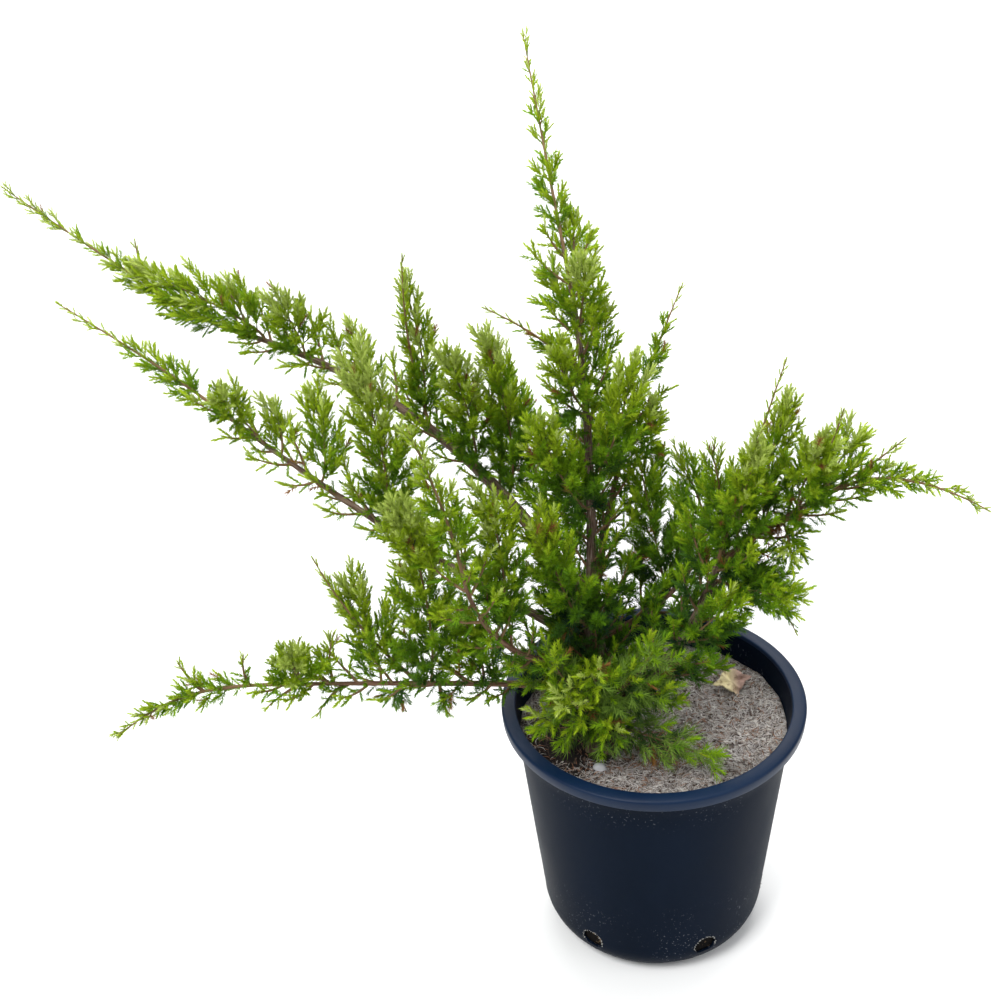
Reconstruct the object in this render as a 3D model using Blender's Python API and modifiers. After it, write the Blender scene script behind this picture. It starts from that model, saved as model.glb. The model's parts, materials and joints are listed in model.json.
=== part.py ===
"""Spreading juniper in a ten litre nursery pot, metres, +Z up, origin under the middle of the pot.

The pot and its soil are turned. The trunk and the boughs are tapering limbs that start from short
forks. Every mass of foliage is one solid that grows from a limb by one seeded rule and keeps to
the space round its own stem.
"""

import math
from typing import NamedTuple

import bmesh
import bpy
import numpy as np
from mathutils import Matrix, Vector

GAP = 0.0003
SEAT_GAP = 0.0004

# Pot: outer radii at the lip, under the lip and above the rounded foot.
POT_HEIGHT = 0.255
LIP_RADIUS = 0.140
LIP_DROP = 0.011
LIP_THICKNESS = 0.0024
WALL_TOP_RADIUS = 0.129
WALL_FOOT_RADIUS = 0.1065
WALL_THICKNESS = 0.0022
RIM_INSIDE = WALL_TOP_RADIUS - WALL_THICKNESS
FOOT_HEIGHT = 0.037
UNDERSIDE_RADIUS = 0.077
FLOOR_THICKNESS = 0.003
FOOT_STEPS = 3
POT_STEPS = 32

DRAIN_COUNT = 6
DRAIN_FIRST = math.radians(-128)
DRAIN_HEIGHT = 0.033
DRAIN_WIDTH = 0.022
DRAIN_SIDES = 8

# Soil: its surface lies below the rim, level round the trunk's foot and uneven elsewhere.
SOIL_TOP = 0.225
SOIL_CLEARANCE = 0.0004
SOIL_UNEVEN = 0.004
SOIL_RINGS = (0.055, 0.085, 0.110)
TRUNK_FOOT = Vector((-0.046, -0.026, SOIL_TOP + GAP))
SEAT_RADIUS = 0.026

# Trunk: it leans back a little from its flared foot to the fork.
FORK = Vector((-0.055, 0.0, 0.357))
FOOT_FLARE = 0.018
TRUNK_RADIUS = 0.0115
TRUNK_TIP_RADIUS = 0.0085
FLARE_REACH = 0.22
STUB = 0.007
FORK_CLEARANCE = 0.001

LIMB_STEPS = 7
AXIS_STEPS = 28
STEM_STEPS = 8
GOLDEN_ANGLE = math.pi * (3 - math.sqrt(5))
SEED = 7


class Limb(NamedTuple):
    """A bough: where it leaves its parent, how it heads, and how it tapers.

    Headings are degrees anticlockwise from +X, rises are degrees above level. Along its length the
    limb turns by turn and lifts by lift.
    """

    parent: str
    place: float
    heading: float
    rise: float
    turn: float
    lift: float
    length: float
    radius: float
    tip_radius: float


LIMBS = {
    "left_upper": Limb("trunk", 0.96, 125, 41, 45, -26, 0.443, 0.0075, 0.0021),
    "left_middle": Limb("trunk", 0.75, 165, 26, -7, 9.5, 0.396, 0.0050, 0.0018),
    "left_lower": Limb("trunk", 0.45, 188, 12, 4, 0, 0.295, 0.0036, 0.0016),
    "front_left": Limb("trunk", 0.60, -153, 21, 29, 59, 0.240, 0.0034, 0.0015),
    "centre": Limb("trunk", 1.00, 80, 76, 25, -21, 0.323, 0.0055, 0.0019),
    "centre_right": Limb("trunk", 0.88, 75, 63, -25, -7, 0.206, 0.0040, 0.0017),
    "right": Limb("trunk", 0.25, -10, 37, 30, 40, 0.195, 0.0055, 0.0036),
    "right_arm": Limb("right", 0.96, 30, 25, -39, 7, 0.129, 0.0036, 0.0017),
    "back_right": Limb("trunk", 0.80, 20, 6, 60, 0, 0.190, 0.0034, 0.0015),
    "back": Limb("trunk", 0.66, 100, 24, 10, 10, 0.220, 0.0036, 0.0015),
}


class Shoot(NamedTuple):
    """The stem of a mass: its place on the limb (1 is the tip), its way, length and width.

    run is how far the stem keeps the way that it leaves its limb in, 1 being usual.
    """

    place: float
    heading: float
    rise: float
    length: float
    width: float
    run: float = 1.0


SHOOTS = {
    "left_upper": (
        Shoot(1.00, 172, 37, 0.230, 0.062, 0.3),
        Shoot(0.95, 133, 55, 0.051, 0.057),
        Shoot(0.82, -111, 64, 0.066, 0.095),
        Shoot(0.67, 116, 56, 0.052, 0.059),
        Shoot(0.54, 105, 80, 0.128, 0.064),
        Shoot(0.39, -106, 69, 0.145, 0.091),
        Shoot(0.30, 106, 75, 0.145, 0.088),
        Shoot(0.91, 175, 34, 0.122, 0.088),
    ),
    "left_middle": (
        Shoot(1.00, 164, 34, 0.168, 0.050),
        Shoot(0.96, -90, 48, 0.060, 0.070),
        Shoot(0.72, 92, 60, 0.074, 0.080),
        Shoot(0.55, -105, 81, 0.168, 0.102),
        Shoot(0.83, 105, 70, 0.044, 0.058),
    ),
    "left_lower": (
        Shoot(1.00, -146, 8, 0.144, 0.051, 1.8),
        Shoot(0.94, -79, 56, 0.062, 0.080),
        Shoot(0.68, 123, 66, 0.083, 0.106),
        Shoot(0.53, -97, 75, 0.220, 0.117),
        Shoot(0.37, -108, 68, 0.110, 0.086),
    ),
    "front_left": (
        Shoot(1.00, -138, 74, 0.160, 0.070),
        Shoot(0.60, -88, 86, 0.133, 0.084),
    ),
    "centre": (
        Shoot(1.00, 102, 52, 0.196, 0.050),
        Shoot(0.94, 80, 36, 0.050, 0.066),
        Shoot(0.79, -78, 67, 0.070, 0.072),
        Shoot(0.82, 122, 30, 0.042, 0.071),
        Shoot(0.64, 66, 45, 0.060, 0.072),
        Shoot(0.57, -127, 59, 0.079, 0.080),
        Shoot(0.39, -14, 70, 0.098, 0.103),
        Shoot(0.30, -135, 60, 0.112, 0.103),
    ),
    "centre_right": (
        Shoot(1.00, 46, 55, 0.110, 0.044),
        Shoot(0.78, -58, 52, 0.070, 0.074),
    ),
    "right": (
        Shoot(1.00, 118, 82, 0.103, 0.096),
        Shoot(0.90, -39, 8, 0.072, 0.084),
        Shoot(0.60, -52, 50, 0.072, 0.080),
    ),
    "right_arm": (
        Shoot(1.00, -48, 15, 0.145, 0.050),
        Shoot(0.89, 50, 38, 0.052, 0.082),
        Shoot(0.67, -85, 59, 0.106, 0.096),
        Shoot(0.43, 57, 72, 0.107, 0.081),
        Shoot(0.54, -89, -9, 0.042, 0.066),
        Shoot(0.19, -85, 69, 0.136, 0.084),
    ),
    "back_right": (
        Shoot(1.00, 106, 31, 0.090, 0.103),
        Shoot(0.45, 170, 80, 0.145, 0.112),
    ),
    "back": (
        Shoot(1.00, 105, 39, 0.100, 0.114),
        Shoot(0.66, 25, 55, 0.101, 0.110),
    ),
    "trunk": (
        Shoot(0.93, -130, 64, 0.151, 0.103),
        Shoot(0.38, -130, 50, 0.105, 0.090),
        Shoot(0.40, -47, 52, 0.100, 0.090),
        Shoot(0.17, -38, 6, 0.110, 0.070),
    ),
}

# The rule that every mass grows by: a stem that swells into a slim core, twigs round it by the
# golden angle, and sprays on both. A stem's marks are (share of its length, share of the core).
STEM_RADIUS = 0.0014
STEM_MARKS = ((0.0, 0.0), (0.12, 0.3), (0.35, 1.0), (0.65, 0.8), (1.0, 0.0))
CORE_SHARE = 0.15
CORE_CLEARANCE = 0.001
TWIG_RADIUS = 0.0011
TWIG_SPACING = 0.040
TWIG_FIRST, TWIG_LAST = 0.16, 0.86
TWIG_SHARE = 0.5
SPRAY_SPACING = 0.0154
SPRAY_FIRST, SPRAY_LAST = 0.08, 0.97
SPRAY_LONGEST = 0.080
SPRAY_SHORTEST = 0.022
SPRAY_SHORTEST_SHARE = 0.36
SHORTENING = 0.8
SPRAY_SLIMNESS = 0.23
SPRAY_FLATNESS = 0.5
SPRAY_SUNK = 0.12
SPRAY_WIDEST = 0.38
ANGLE_LOW, ANGLE_HIGH = math.radians(70), math.radians(24)
WIDEST = 0.28
TIP_SHARE = 0.22
KEEP_OFF = 0.0008


def way(heading, rise):
    """The unit vector of a heading and a rise in degrees."""
    across = math.cos(math.radians(rise))
    return Vector(
        (
            across * math.cos(math.radians(heading)),
            across * math.sin(math.radians(heading)),
            math.sin(math.radians(rise)),
        )
    )


def material(name, colour, roughness):
    made = bpy.data.materials.new(name)
    made.use_nodes = True
    shader = made.node_tree.nodes["Principled BSDF"]
    shader.inputs["Base Color"].default_value = (*colour, 1.0)
    shader.inputs["Roughness"].default_value = roughness
    shader.inputs["Metallic"].default_value = 0.0
    return made


def new_object(name, data, collection, coat=None):
    made = bpy.data.objects.new(name, data)
    collection.objects.link(made)
    if coat is not None:
        data.materials.clear()
        data.materials.append(coat)
    return made


def evaluated_mesh(obj):
    bpy.context.view_layer.update()
    graph = bpy.context.evaluated_depsgraph_get()
    return bpy.data.meshes.new_from_object(obj.evaluated_get(graph))


def discard(obj):
    data = obj.data
    bpy.data.objects.remove(obj)
    if isinstance(data, bpy.types.Mesh):
        bpy.data.meshes.remove(data)
    else:
        bpy.data.curves.remove(data)


# Turned pieces


def turned(name, profile, collection, coat):
    """A solid turned about Z from (radius, height) points whose ends lie on the axis."""
    mesh = bpy.data.meshes.new(name)
    points = [(radius, 0.0, height) for radius, height in profile]
    mesh.from_pydata(points, [(i, i + 1) for i in range(len(points) - 1)], [])
    made = new_object(name, mesh, collection, coat)
    screw = made.modifiers.new("Turn", "SCREW")
    screw.steps = POT_STEPS
    screw.render_steps = POT_STEPS
    screw.use_merge_vertices = True
    screw.merge_threshold = 0.0001
    return made


def foot_curve(inset):
    """The rounded foot from the wall down to the underside, a quarter ellipse moved in by inset."""
    across = WALL_FOOT_RADIUS - UNDERSIDE_RADIUS
    points = []
    for i in range(FOOT_STEPS + 1):
        turn = math.pi / 2 * i / FOOT_STEPS
        radius = UNDERSIDE_RADIUS + across * math.cos(turn) - inset * math.cos(turn)
        height = FOOT_HEIGHT * (1 - math.sin(turn)) + inset * math.sin(turn)
        points.append((radius, height))
    return points


def wall_radius(height):
    """The wall's outer radius at a height above the foot."""
    share = (height - FOOT_HEIGHT) / (POT_HEIGHT - FOOT_HEIGHT)
    return WALL_FOOT_RADIUS + share * (WALL_TOP_RADIUS - WALL_FOOT_RADIUS)


def make_pot(collection, cutters):
    """The pot: a tapering wall, a lip turned out and down, a rounded foot and drainage holes."""
    lip_under = POT_HEIGHT - LIP_THICKNESS
    skirt_foot = POT_HEIGHT - LIP_DROP
    inner = [(0.0, FLOOR_THICKNESS)] + foot_curve(WALL_THICKNESS)[::-1]
    lip = [
        (WALL_TOP_RADIUS - WALL_THICKNESS, POT_HEIGHT - 0.001),
        (WALL_TOP_RADIUS - WALL_THICKNESS + 0.001, POT_HEIGHT),
        (LIP_RADIUS - 0.001, POT_HEIGHT),
        (LIP_RADIUS, POT_HEIGHT - 0.001),
        (LIP_RADIUS - 0.0008, skirt_foot),
        (LIP_RADIUS - 0.0008 - LIP_THICKNESS, skirt_foot),
        (LIP_RADIUS - LIP_THICKNESS, lip_under),
        (WALL_TOP_RADIUS, lip_under),
    ]
    outer = foot_curve(0.0) + [(0.0, 0.0)]
    pot = turned("pot", inner + lip + outer, collection, material("pot_plastic", (0.012, 0.016, 0.028), 0.5))
    for i in range(DRAIN_COUNT):
        turn = DRAIN_FIRST + 2 * math.pi * i / DRAIN_COUNT
        drain = bmesh.new()
        bmesh.ops.create_cone(
            drain,
            cap_ends=True,
            segments=DRAIN_SIDES,
            radius1=DRAIN_WIDTH / 2,
            radius2=DRAIN_WIDTH / 2,
            depth=0.030,
            matrix=Matrix.Rotation(math.pi / 2, 4, "Y") @ Matrix.Rotation(0.1, 4, "Z"),
        )
        mesh = bpy.data.meshes.new("drain")
        drain.to_mesh(mesh)
        drain.free()
        cutter = new_object(f"drain_{i + 1}", mesh, cutters)
        cutter.location = (0.104 * math.cos(turn), 0.104 * math.sin(turn), DRAIN_HEIGHT)
        cutter.rotation_euler = (0.0, 0.0, turn)
        cutter.hide_render = True
        cutter.display_type = "WIRE"
    cut = pot.modifiers.new("Drains", "BOOLEAN")
    cut.operation = "DIFFERENCE"
    cut.operand_type = "COLLECTION"
    cut.collection = cutters
    return pot


def make_soil(collection):
    """The soil: it fills the pot, clear of the wall, with a seat for the trunk in its top."""
    inset = WALL_THICKNESS + SOIL_CLEARANCE
    top_radius = wall_radius(SOIL_TOP) - inset
    floor = [(UNDERSIDE_RADIUS, FLOOR_THICKNESS + SOIL_CLEARANCE), (0.0, FLOOR_THICKNESS + SOIL_CLEARANCE)]
    top = [(0.0, SOIL_TOP)] + [(radius, SOIL_TOP) for radius in SOIL_RINGS] + [(top_radius, SOIL_TOP)]
    foot = [
        (radius, height)
        for radius, height in foot_curve(inset)
        if height > FLOOR_THICKNESS + 2 * SOIL_CLEARANCE
    ]
    shape = turned("turned_soil", top + foot + floor, collection, material("soil", (0.16, 0.12, 0.085), 0.95))
    mesh = evaluated_mesh(shape)
    for vertex in mesh.vertices:
        if vertex.co.z < SOIL_TOP - SOIL_UNEVEN:
            continue
        off = math.hypot(vertex.co.x - TRUNK_FOOT.x, vertex.co.y - TRUNK_FOOT.y)
        if off > SEAT_RADIUS:
            wave = math.sin(41 * vertex.co.x + 3) * math.cos(37 * vertex.co.y - 1)
            vertex.co.z += SOIL_UNEVEN * wave * min(1.0, (off - SEAT_RADIUS) / 0.03)
    soil = new_object("soil", mesh, collection)
    discard(shape)
    return soil


# Limbs


def walk(start, limb, steps):
    """Points from a start along a limb's heading and rise, which change evenly."""
    points = [start.copy()]
    for i in range(steps):
        share = (i + 0.5) / steps
        step = way(limb.heading + limb.turn * share, limb.rise + limb.lift * share)
        points.append(points[-1] + step * (limb.length / steps))
    return points


def along(points, share):
    """The point at a share of a path whose points are evenly spaced."""
    spot = min(max(share, 0.0), 1.0) * (len(points) - 1)
    i = min(int(spot), len(points) - 2)
    return points[i].lerp(points[i + 1], spot - i)


def heading_at(points, share):
    ahead = along(points, share + 0.02)
    return (ahead - along(points, share - 0.02)).normalized()


def trunk_radius(share):
    flare = max(0.0, 1 - share / FLARE_REACH)
    taper = TRUNK_RADIUS + (TRUNK_TIP_RADIUS - TRUNK_RADIUS) * share
    return taper + (FOOT_FLARE - TRUNK_RADIUS) * flare * flare


def limb_radius(limb, share):
    return limb.radius + (limb.tip_radius - limb.radius) * share**0.8


def as_path(points):
    return np.array([tuple(point) for point in points])


def radius_on(name, share):
    return trunk_radius(share) if name == "trunk" else limb_radius(LIMBS[name], share)


def lay_out_limbs():
    """The axis of the trunk and of every bough, as evenly spaced points."""
    axes = {"trunk": [TRUNK_FOOT.lerp(FORK, i / LIMB_STEPS) for i in range(LIMB_STEPS + 1)]}
    for name, limb in LIMBS.items():
        axes[name] = walk(along(axes[limb.parent], limb.place), limb, AXIS_STEPS)
    return axes


def tube(name, points, radii, collection, resolution):
    """A tapering tube as a mesh with its end caps welded on."""
    curve = bpy.data.curves.new(name, "CURVE")
    curve.dimensions = "3D"
    curve.bevel_depth = 1.0
    curve.bevel_resolution = resolution
    curve.use_fill_caps = True
    spline = curve.splines.new("POLY")
    spline.points.add(len(points) - 1)
    for point, place, radius in zip(spline.points, points, radii):
        point.co = (*place, 1.0)
        point.radius = radius
    shape = bpy.data.objects.new(name + "_curve", curve)
    collection.objects.link(shape)
    mesh = evaluated_mesh(shape)
    discard(shape)
    form = bmesh.new()
    form.from_mesh(mesh)
    bmesh.ops.remove_doubles(form, verts=form.verts, dist=0.00001)
    bmesh.ops.recalc_face_normals(form, faces=form.faces)
    form.to_mesh(mesh)
    form.free()
    return new_object(name, mesh, collection)


def start_of(name, axes):
    """How far along its axis a bough starts: past its stub, clear of its parent and of its neighbours."""
    limb = LIMBS[name]
    parent_radius = radius_on(limb.parent, limb.place)
    near = [(as_path(axes[limb.parent]), parent_radius)]
    for other, neighbour in LIMBS.items():
        if other != name and neighbour.parent == limb.parent:
            near.append((as_path(axes[other]), neighbour.radius))
    run = parent_radius + STUB
    while any(
        distance(along(axes[name], run / limb.length), path) < radius + limb.radius + FORK_CLEARANCE
        for path, radius in near
    ):
        run += 0.001
    return run / limb.length


def rings_of(name, axes):
    """Where a limb starts along its axis, and the middles of the rings that it is built on."""
    first = 0.0 if name == "trunk" else start_of(name, axes) + GAP / LIMBS[name].length
    shares = [first + (1 - first) * i / LIMB_STEPS for i in range(LIMB_STEPS + 1)]
    return first, [along(axes[name], share) for share in shares]


def keep_largest(mesh):
    """Drops loose scraps and the walls of sealed hollows: all but the body with the most faces."""
    form = bmesh.new()
    form.from_mesh(mesh)
    bodies = []
    left = set(form.verts)
    while left:
        body = set()
        front = {left.pop()}
        while front:
            body |= front
            reached = {edge.other_vert(vertex) for vertex in front for edge in vertex.link_edges}
            front = reached - body
        left -= body
        bodies.append(body)
    largest = max(bodies, key=len)
    bmesh.ops.delete(form, geom=[vertex for vertex in form.verts if vertex not in largest], context="VERTS")
    form.to_mesh(mesh)
    form.free()


def fuse(name, pieces, collection, coat):
    """One solid from overlapping pieces. The pieces are used up."""
    helpers = bpy.data.collections.new(name + "_pieces")
    bpy.context.scene.collection.children.link(helpers)
    first, rest = pieces[0], pieces[1:]
    for piece in rest:
        for holder in list(piece.users_collection):
            holder.objects.unlink(piece)
        helpers.objects.link(piece)
    union = first.modifiers.new("Union", "BOOLEAN")
    union.operation = "UNION"
    union.operand_type = "COLLECTION"
    union.collection = helpers
    mesh = evaluated_mesh(first)
    keep_largest(mesh)
    for piece in rest + [first]:
        discard(piece)
    bpy.data.collections.remove(helpers)
    return new_object(name, mesh, collection, coat)


def make_limb(name, axes, collection, coat):
    """The trunk or a bough with a short stub for each bough that leaves it."""
    first, points = rings_of(name, axes)
    if name == "trunk":
        points[0] = points[0] - Vector((0, 0, 0.01))
    radii = [radius_on(name, first + (1 - first) * i / LIMB_STEPS) for i in range(LIMB_STEPS + 1)]
    pieces = [tube(f"{name}_main", points, radii, collection, 2 if name == "trunk" else 1)]
    for child, limb in LIMBS.items():
        if limb.parent != name:
            continue
        end = start_of(child, axes)
        spot = along(axes[child], end)
        onward = (along(axes[child], end + (1 - end) / LIMB_STEPS) - spot).normalized()
        stub = [spot - onward * (end * limb.length), spot]
        wide = [limb.radius * 1.25, limb_radius(limb, end)]
        pieces.append(tube(f"{child}_stub", stub, wide, collection, 1))
    label = "trunk" if name == "trunk" else f"bough_{name}"
    if len(pieces) == 1:
        pieces[0].name = label
        pieces[0].data.materials.append(coat)
        return pieces[0]
    return fuse(label, pieces, collection, coat)


def level_foot(trunk):
    """Cuts the trunk flat just above the soil."""
    form = bmesh.new()
    form.from_mesh(trunk.data)
    cut = bmesh.ops.bisect_plane(
        form,
        geom=form.verts[:] + form.edges[:] + form.faces[:],
        plane_co=TRUNK_FOOT,
        plane_no=(0, 0, 1),
        clear_inner=True,
    )
    rim = [piece for piece in cut["geom_cut"] if isinstance(piece, bmesh.types.BMEdge)]
    bmesh.ops.holes_fill(form, edges=rim)
    bmesh.ops.recalc_face_normals(form, faces=form.faces)
    form.to_mesh(trunk.data)
    form.free()


# Foliage


def seat_of(limb_name, shoot, axes):
    """Where a mass's stem starts and its way out: square to the limb's bark, or on from its tip."""
    first, rings = rings_of(limb_name, axes)
    part = (shoot.place - first) / (1 - first)
    at = along(rings, part)
    on = heading_at(rings, part)
    if shoot.place == 1.0:
        return at + on * GAP, on
    out = way(shoot.heading, shoot.rise)
    out = (out - on * out.dot(on)).normalized()
    return at + out * (radius_on(limb_name, shoot.place) + SEAT_GAP), out


def stem_points(limb_name, shoot, axes, steps):
    """A stem from its seat to its tip, bending on from the way out through the shoot's own way."""
    start, out = seat_of(limb_name, shoot, axes)
    aim = way(shoot.heading, shoot.rise)
    end = along(axes[limb_name], shoot.place) + aim * shoot.length
    leave = out * (shoot.length * (0.9 if shoot.place == 1.0 else 0.45) * shoot.run)
    arrive = (aim + (aim - out) * (0.6 * shoot.run)).normalized() * shoot.length
    points = []
    for i in range(steps + 1):
        t = i / steps
        points.append(
            start * (2 * t**3 - 3 * t**2 + 1)
            + leave * (t**3 - 2 * t**2 + t)
            + end * (3 * t**2 - 2 * t**3)
            + arrive * (t**3 - t**2)
        )
    return points


def reach(shoot, share):
    """Half the mass's width at a share of its stem: widest low down, slim at the tip."""
    if share < WIDEST:
        part = 0.7 + 0.3 * share / WIDEST
    else:
        part = 1 - (1 - TIP_SHARE) * (share - WIDEST) / (1 - WIDEST)
    return shoot.width / 2 * part


def distance(spot, path):
    """The shortest distance from a spot to a path of points."""
    spot = np.array(spot)
    starts, ends = path[:-1], path[1:]
    runs = ends - starts
    share = np.einsum("ij,ij->i", spot - starts, runs) / np.einsum("ij,ij->i", runs, runs)
    nearest = starts + runs * np.clip(share, 0, 1)[:, None]
    return float(np.linalg.norm(spot - nearest, axis=1).min())


class Crown(NamedTuple):
    """What a mass keeps clear of: the stems of all masses, and each limb's axis and radius."""

    stems: dict
    limbs: list


def keeps_to_space(start, end, half_width, name, crown):
    """Whether a twig or spray stays nearer to its own stem than to any other, and off the rest."""
    for share, fullness in ((0.3, 1.0), (0.5, 0.9), (0.7, 0.6), (0.85, 0.3), (1.0, 0.0)):
        spot = start.lerp(end, share)
        room = half_width * fullness + KEEP_OFF
        own = distance(spot, crown.stems[name])
        for other, path in crown.stems.items():
            if other != name and distance(spot, path) < own + 2 * room:
                return False
        for axis, radius in crown.limbs:
            if distance(spot, axis) < radius + room:
                return False
        if math.hypot(spot.x, spot.y) > RIM_INSIDE - room and spot.z < POT_HEIGHT + room:
            return False
        if spot.z < SOIL_TOP + SOIL_UNEVEN + room:
            return False
    return True


def core_radius(shoot, spot, name, crown):
    """The core's radius at a spot: a share of the width, less where a stem or a limb is close."""
    room = CORE_SHARE * shoot.width
    for other, path in crown.stems.items():
        if other != name:
            room = min(room, distance(spot, path) / 2 - CORE_CLEARANCE)
    for axis, radius in crown.limbs:
        room = min(room, distance(spot, axis) - radius - CORE_CLEARANCE)
    return room


def aimed(direction, turn, angle):
    """A way at an angle from a direction, turned round it."""
    side = direction.orthogonal().normalized()
    side.rotate(Matrix.Rotation(turn, 3, direction))
    return (direction * math.cos(angle) + side * math.sin(angle)).normalized()


def between(start, end):
    """The matrix that stands a form on its start, with its Z axis towards its end."""
    return Matrix.Translation(start) @ (end - start).to_track_quat("Z", "Y").to_matrix().to_4x4()


def spray_piece(name, start, end, half_width, collection):
    """A spray: a flat six-faced body, widest below its middle."""
    form = bmesh.new()
    bmesh.ops.create_uvsphere(form, u_segments=3, v_segments=2, radius=1.0)
    length = (end - start).length
    for vertex in form.verts:
        share = SPRAY_WIDEST if abs(vertex.co.z) < 0.5 else (vertex.co.z + 1) / 2
        flat = half_width * SPRAY_FLATNESS
        vertex.co = Vector((vertex.co.x * half_width, vertex.co.y * flat, share * length))
    bmesh.ops.transform(form, matrix=between(start, end), verts=form.verts)
    mesh = bpy.data.meshes.new(name)
    form.to_mesh(mesh)
    form.free()
    return new_object(name, mesh, collection)


def twig_piece(name, start, end, collection):
    """A three-sided twig that tapers."""
    form = bmesh.new()
    length = (end - start).length
    bmesh.ops.create_cone(
        form,
        cap_ends=True,
        segments=3,
        radius1=TWIG_RADIUS,
        radius2=TWIG_RADIUS * 0.6,
        depth=length,
        matrix=Matrix.Translation((0, 0, length / 2)),
    )
    bmesh.ops.transform(form, matrix=between(start, end), verts=form.verts)
    mesh = bpy.data.meshes.new(name)
    form.to_mesh(mesh)
    form.free()
    return new_object(name, mesh, collection)


class Mass:
    """One mass of foliage while it grows."""

    def __init__(self, name, shoot, stem, crown, collection):
        self.name = name
        self.shoot = shoot
        self.stem = stem
        self.crown = crown
        self.collection = collection
        self.rule = np.random.default_rng([SEED, *name.encode()])
        self.turn = self.rule.uniform(0, 2 * math.pi)
        self.pieces = []
        self.shortest = max(SPRAY_SHORTEST, SPRAY_SHORTEST_SHARE * shoot.width)

    def grow_stem(self):
        """The stem and, past its foot, the core that it swells into."""
        spots = [along(self.stem, share) for share, _ in STEM_MARKS]
        radii = []
        for spot, (share, part) in zip(spots, STEM_MARKS):
            core = part * core_radius(self.shoot, spot, self.name, self.crown)
            radii.append(max(core, STEM_RADIUS * (1 - 0.6 * share)))
        self.pieces.append(tube(self.name + "_stem", spots, radii, self.collection, 0))

    def side_way(self, share):
        """The next way out from the stem, round it by the golden angle, and its angle off it."""
        self.turn += GOLDEN_ANGLE
        angle = ANGLE_LOW + (ANGLE_HIGH - ANGLE_LOW) * share
        return aimed(heading_at(self.stem, share), self.turn, angle), angle

    def add_spray(self, root, direction, length):
        """A spray with its root sunk in, shortened or skipped where it would leave the mass's space."""
        length = min(SPRAY_LONGEST, max(self.shortest, length))
        while length >= self.shortest:
            start = root - direction * (length * SPRAY_SUNK)
            end = root + direction * (length * (1 - SPRAY_SUNK))
            half_width = length * SPRAY_SLIMNESS
            if keeps_to_space(root, end, half_width, self.name, self.crown):
                name = f"{self.name}_spray_{len(self.pieces)}"
                self.pieces.append(spray_piece(name, start, end, half_width, self.collection))
                return
            length *= SHORTENING

    def grow_twigs(self):
        """Twigs with two sprays each."""
        count = max(1, round((TWIG_LAST - TWIG_FIRST) * self.shoot.length / TWIG_SPACING))
        for i in range(count):
            share = TWIG_FIRST + (TWIG_LAST - TWIG_FIRST) * (i + 0.5) / count
            direction, angle = self.side_way(share)
            root = along(self.stem, share)
            full = reach(self.shoot, share) / math.sin(angle)
            end = root + direction * (full * TWIG_SHARE)
            while full > SPRAY_SHORTEST and not keeps_to_space(root, end, TWIG_RADIUS, self.name, self.crown):
                full *= SHORTENING
                end = root + direction * (full * TWIG_SHARE)
            if full <= SPRAY_SHORTEST:
                continue
            name = f"{self.name}_twig_{len(self.pieces)}"
            self.pieces.append(twig_piece(name, root, end, self.collection))
            onward = (direction + heading_at(self.stem, share) * 0.3).normalized()
            self.add_spray(end - direction * 0.005, onward, full)
            aside = aimed(direction, self.rule.uniform(0, 2 * math.pi), 0.8)
            self.add_spray(root.lerp(end, 0.5), aside, full * 0.8)

    def grow_sprays(self):
        """Sprays straight on the stem, and one at its tip."""
        count = max(2, round((SPRAY_LAST - SPRAY_FIRST) * self.shoot.length / SPRAY_SPACING))
        for i in range(count):
            share = SPRAY_FIRST + (SPRAY_LAST - SPRAY_FIRST) * (i + 0.5) / count
            direction, angle = self.side_way(share)
            length = 1.3 * reach(self.shoot, share) / math.sin(angle)
            self.add_spray(along(self.stem, share), direction, length)
        last = heading_at(self.stem, 0.99)
        tip_length = max(SPRAY_SHORTEST, 0.6 * self.shoot.width)
        start = self.stem[-1] - last * (tip_length * 0.8)
        end = self.stem[-1] + last * (tip_length * 0.2)
        name = self.name + "_tip"
        half_width = tip_length * SPRAY_SLIMNESS
        self.pieces.append(spray_piece(name, start, end, half_width, self.collection))


def make_foliage(axes, collection, coat):
    """Every mass, each kept clear of the others' stems and of the limbs."""
    masses = []
    stems = {}
    for limb_name, shoots in SHOOTS.items():
        for number, shoot in enumerate(shoots, 1):
            name = f"foliage_{limb_name}_{number}"
            stem = stem_points(limb_name, shoot, axes, STEM_STEPS)
            stems[name] = np.array(stem)
            masses.append((name, shoot, stem))
    limbs = []
    for name, axis in axes.items():
        for i in range(0, len(axis) - 1, LIMB_STEPS):
            piece = axis[i : i + LIMB_STEPS + 1]
            limbs.append((np.array(piece), radius_on(name, i / len(axis))))
    crown = Crown(stems, limbs)
    for name, shoot, stem in masses:
        mass = Mass(name, shoot, stem, crown, collection)
        mass.grow_stem()
        mass.grow_twigs()
        mass.grow_sprays()
        fuse(name, mass.pieces, collection, coat)


def clear_scene():
    for obj in list(bpy.data.objects):
        bpy.data.objects.remove(obj)


def main():
    clear_scene()
    plant = bpy.data.collections.new("potted_juniper")
    cutters = bpy.data.collections.new("cutters")
    for collection in (plant, cutters):
        bpy.context.scene.collection.children.link(collection)
    make_pot(plant, cutters)
    make_soil(plant)
    bark = material("bark", (0.17, 0.115, 0.085), 0.9)
    axes = lay_out_limbs()
    for name in axes:
        limb = make_limb(name, axes, plant, bark)
        if name == "trunk":
            level_foot(limb)
    make_foliage(axes, plant, material("needles", (0.10, 0.24, 0.03), 0.6))


if __name__ == "__main__":
    main()
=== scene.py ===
"""A spreading juniper in a black nursery pot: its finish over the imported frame.

Metres, +Z up, origin under the middle of the pot. The pot, the soil, the trunk and the boughs get
finely modelled skins. The foliage grows again from the same stems by the same seeded rule, carried
on to fine twigs and needled sprigs.
"""

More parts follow.
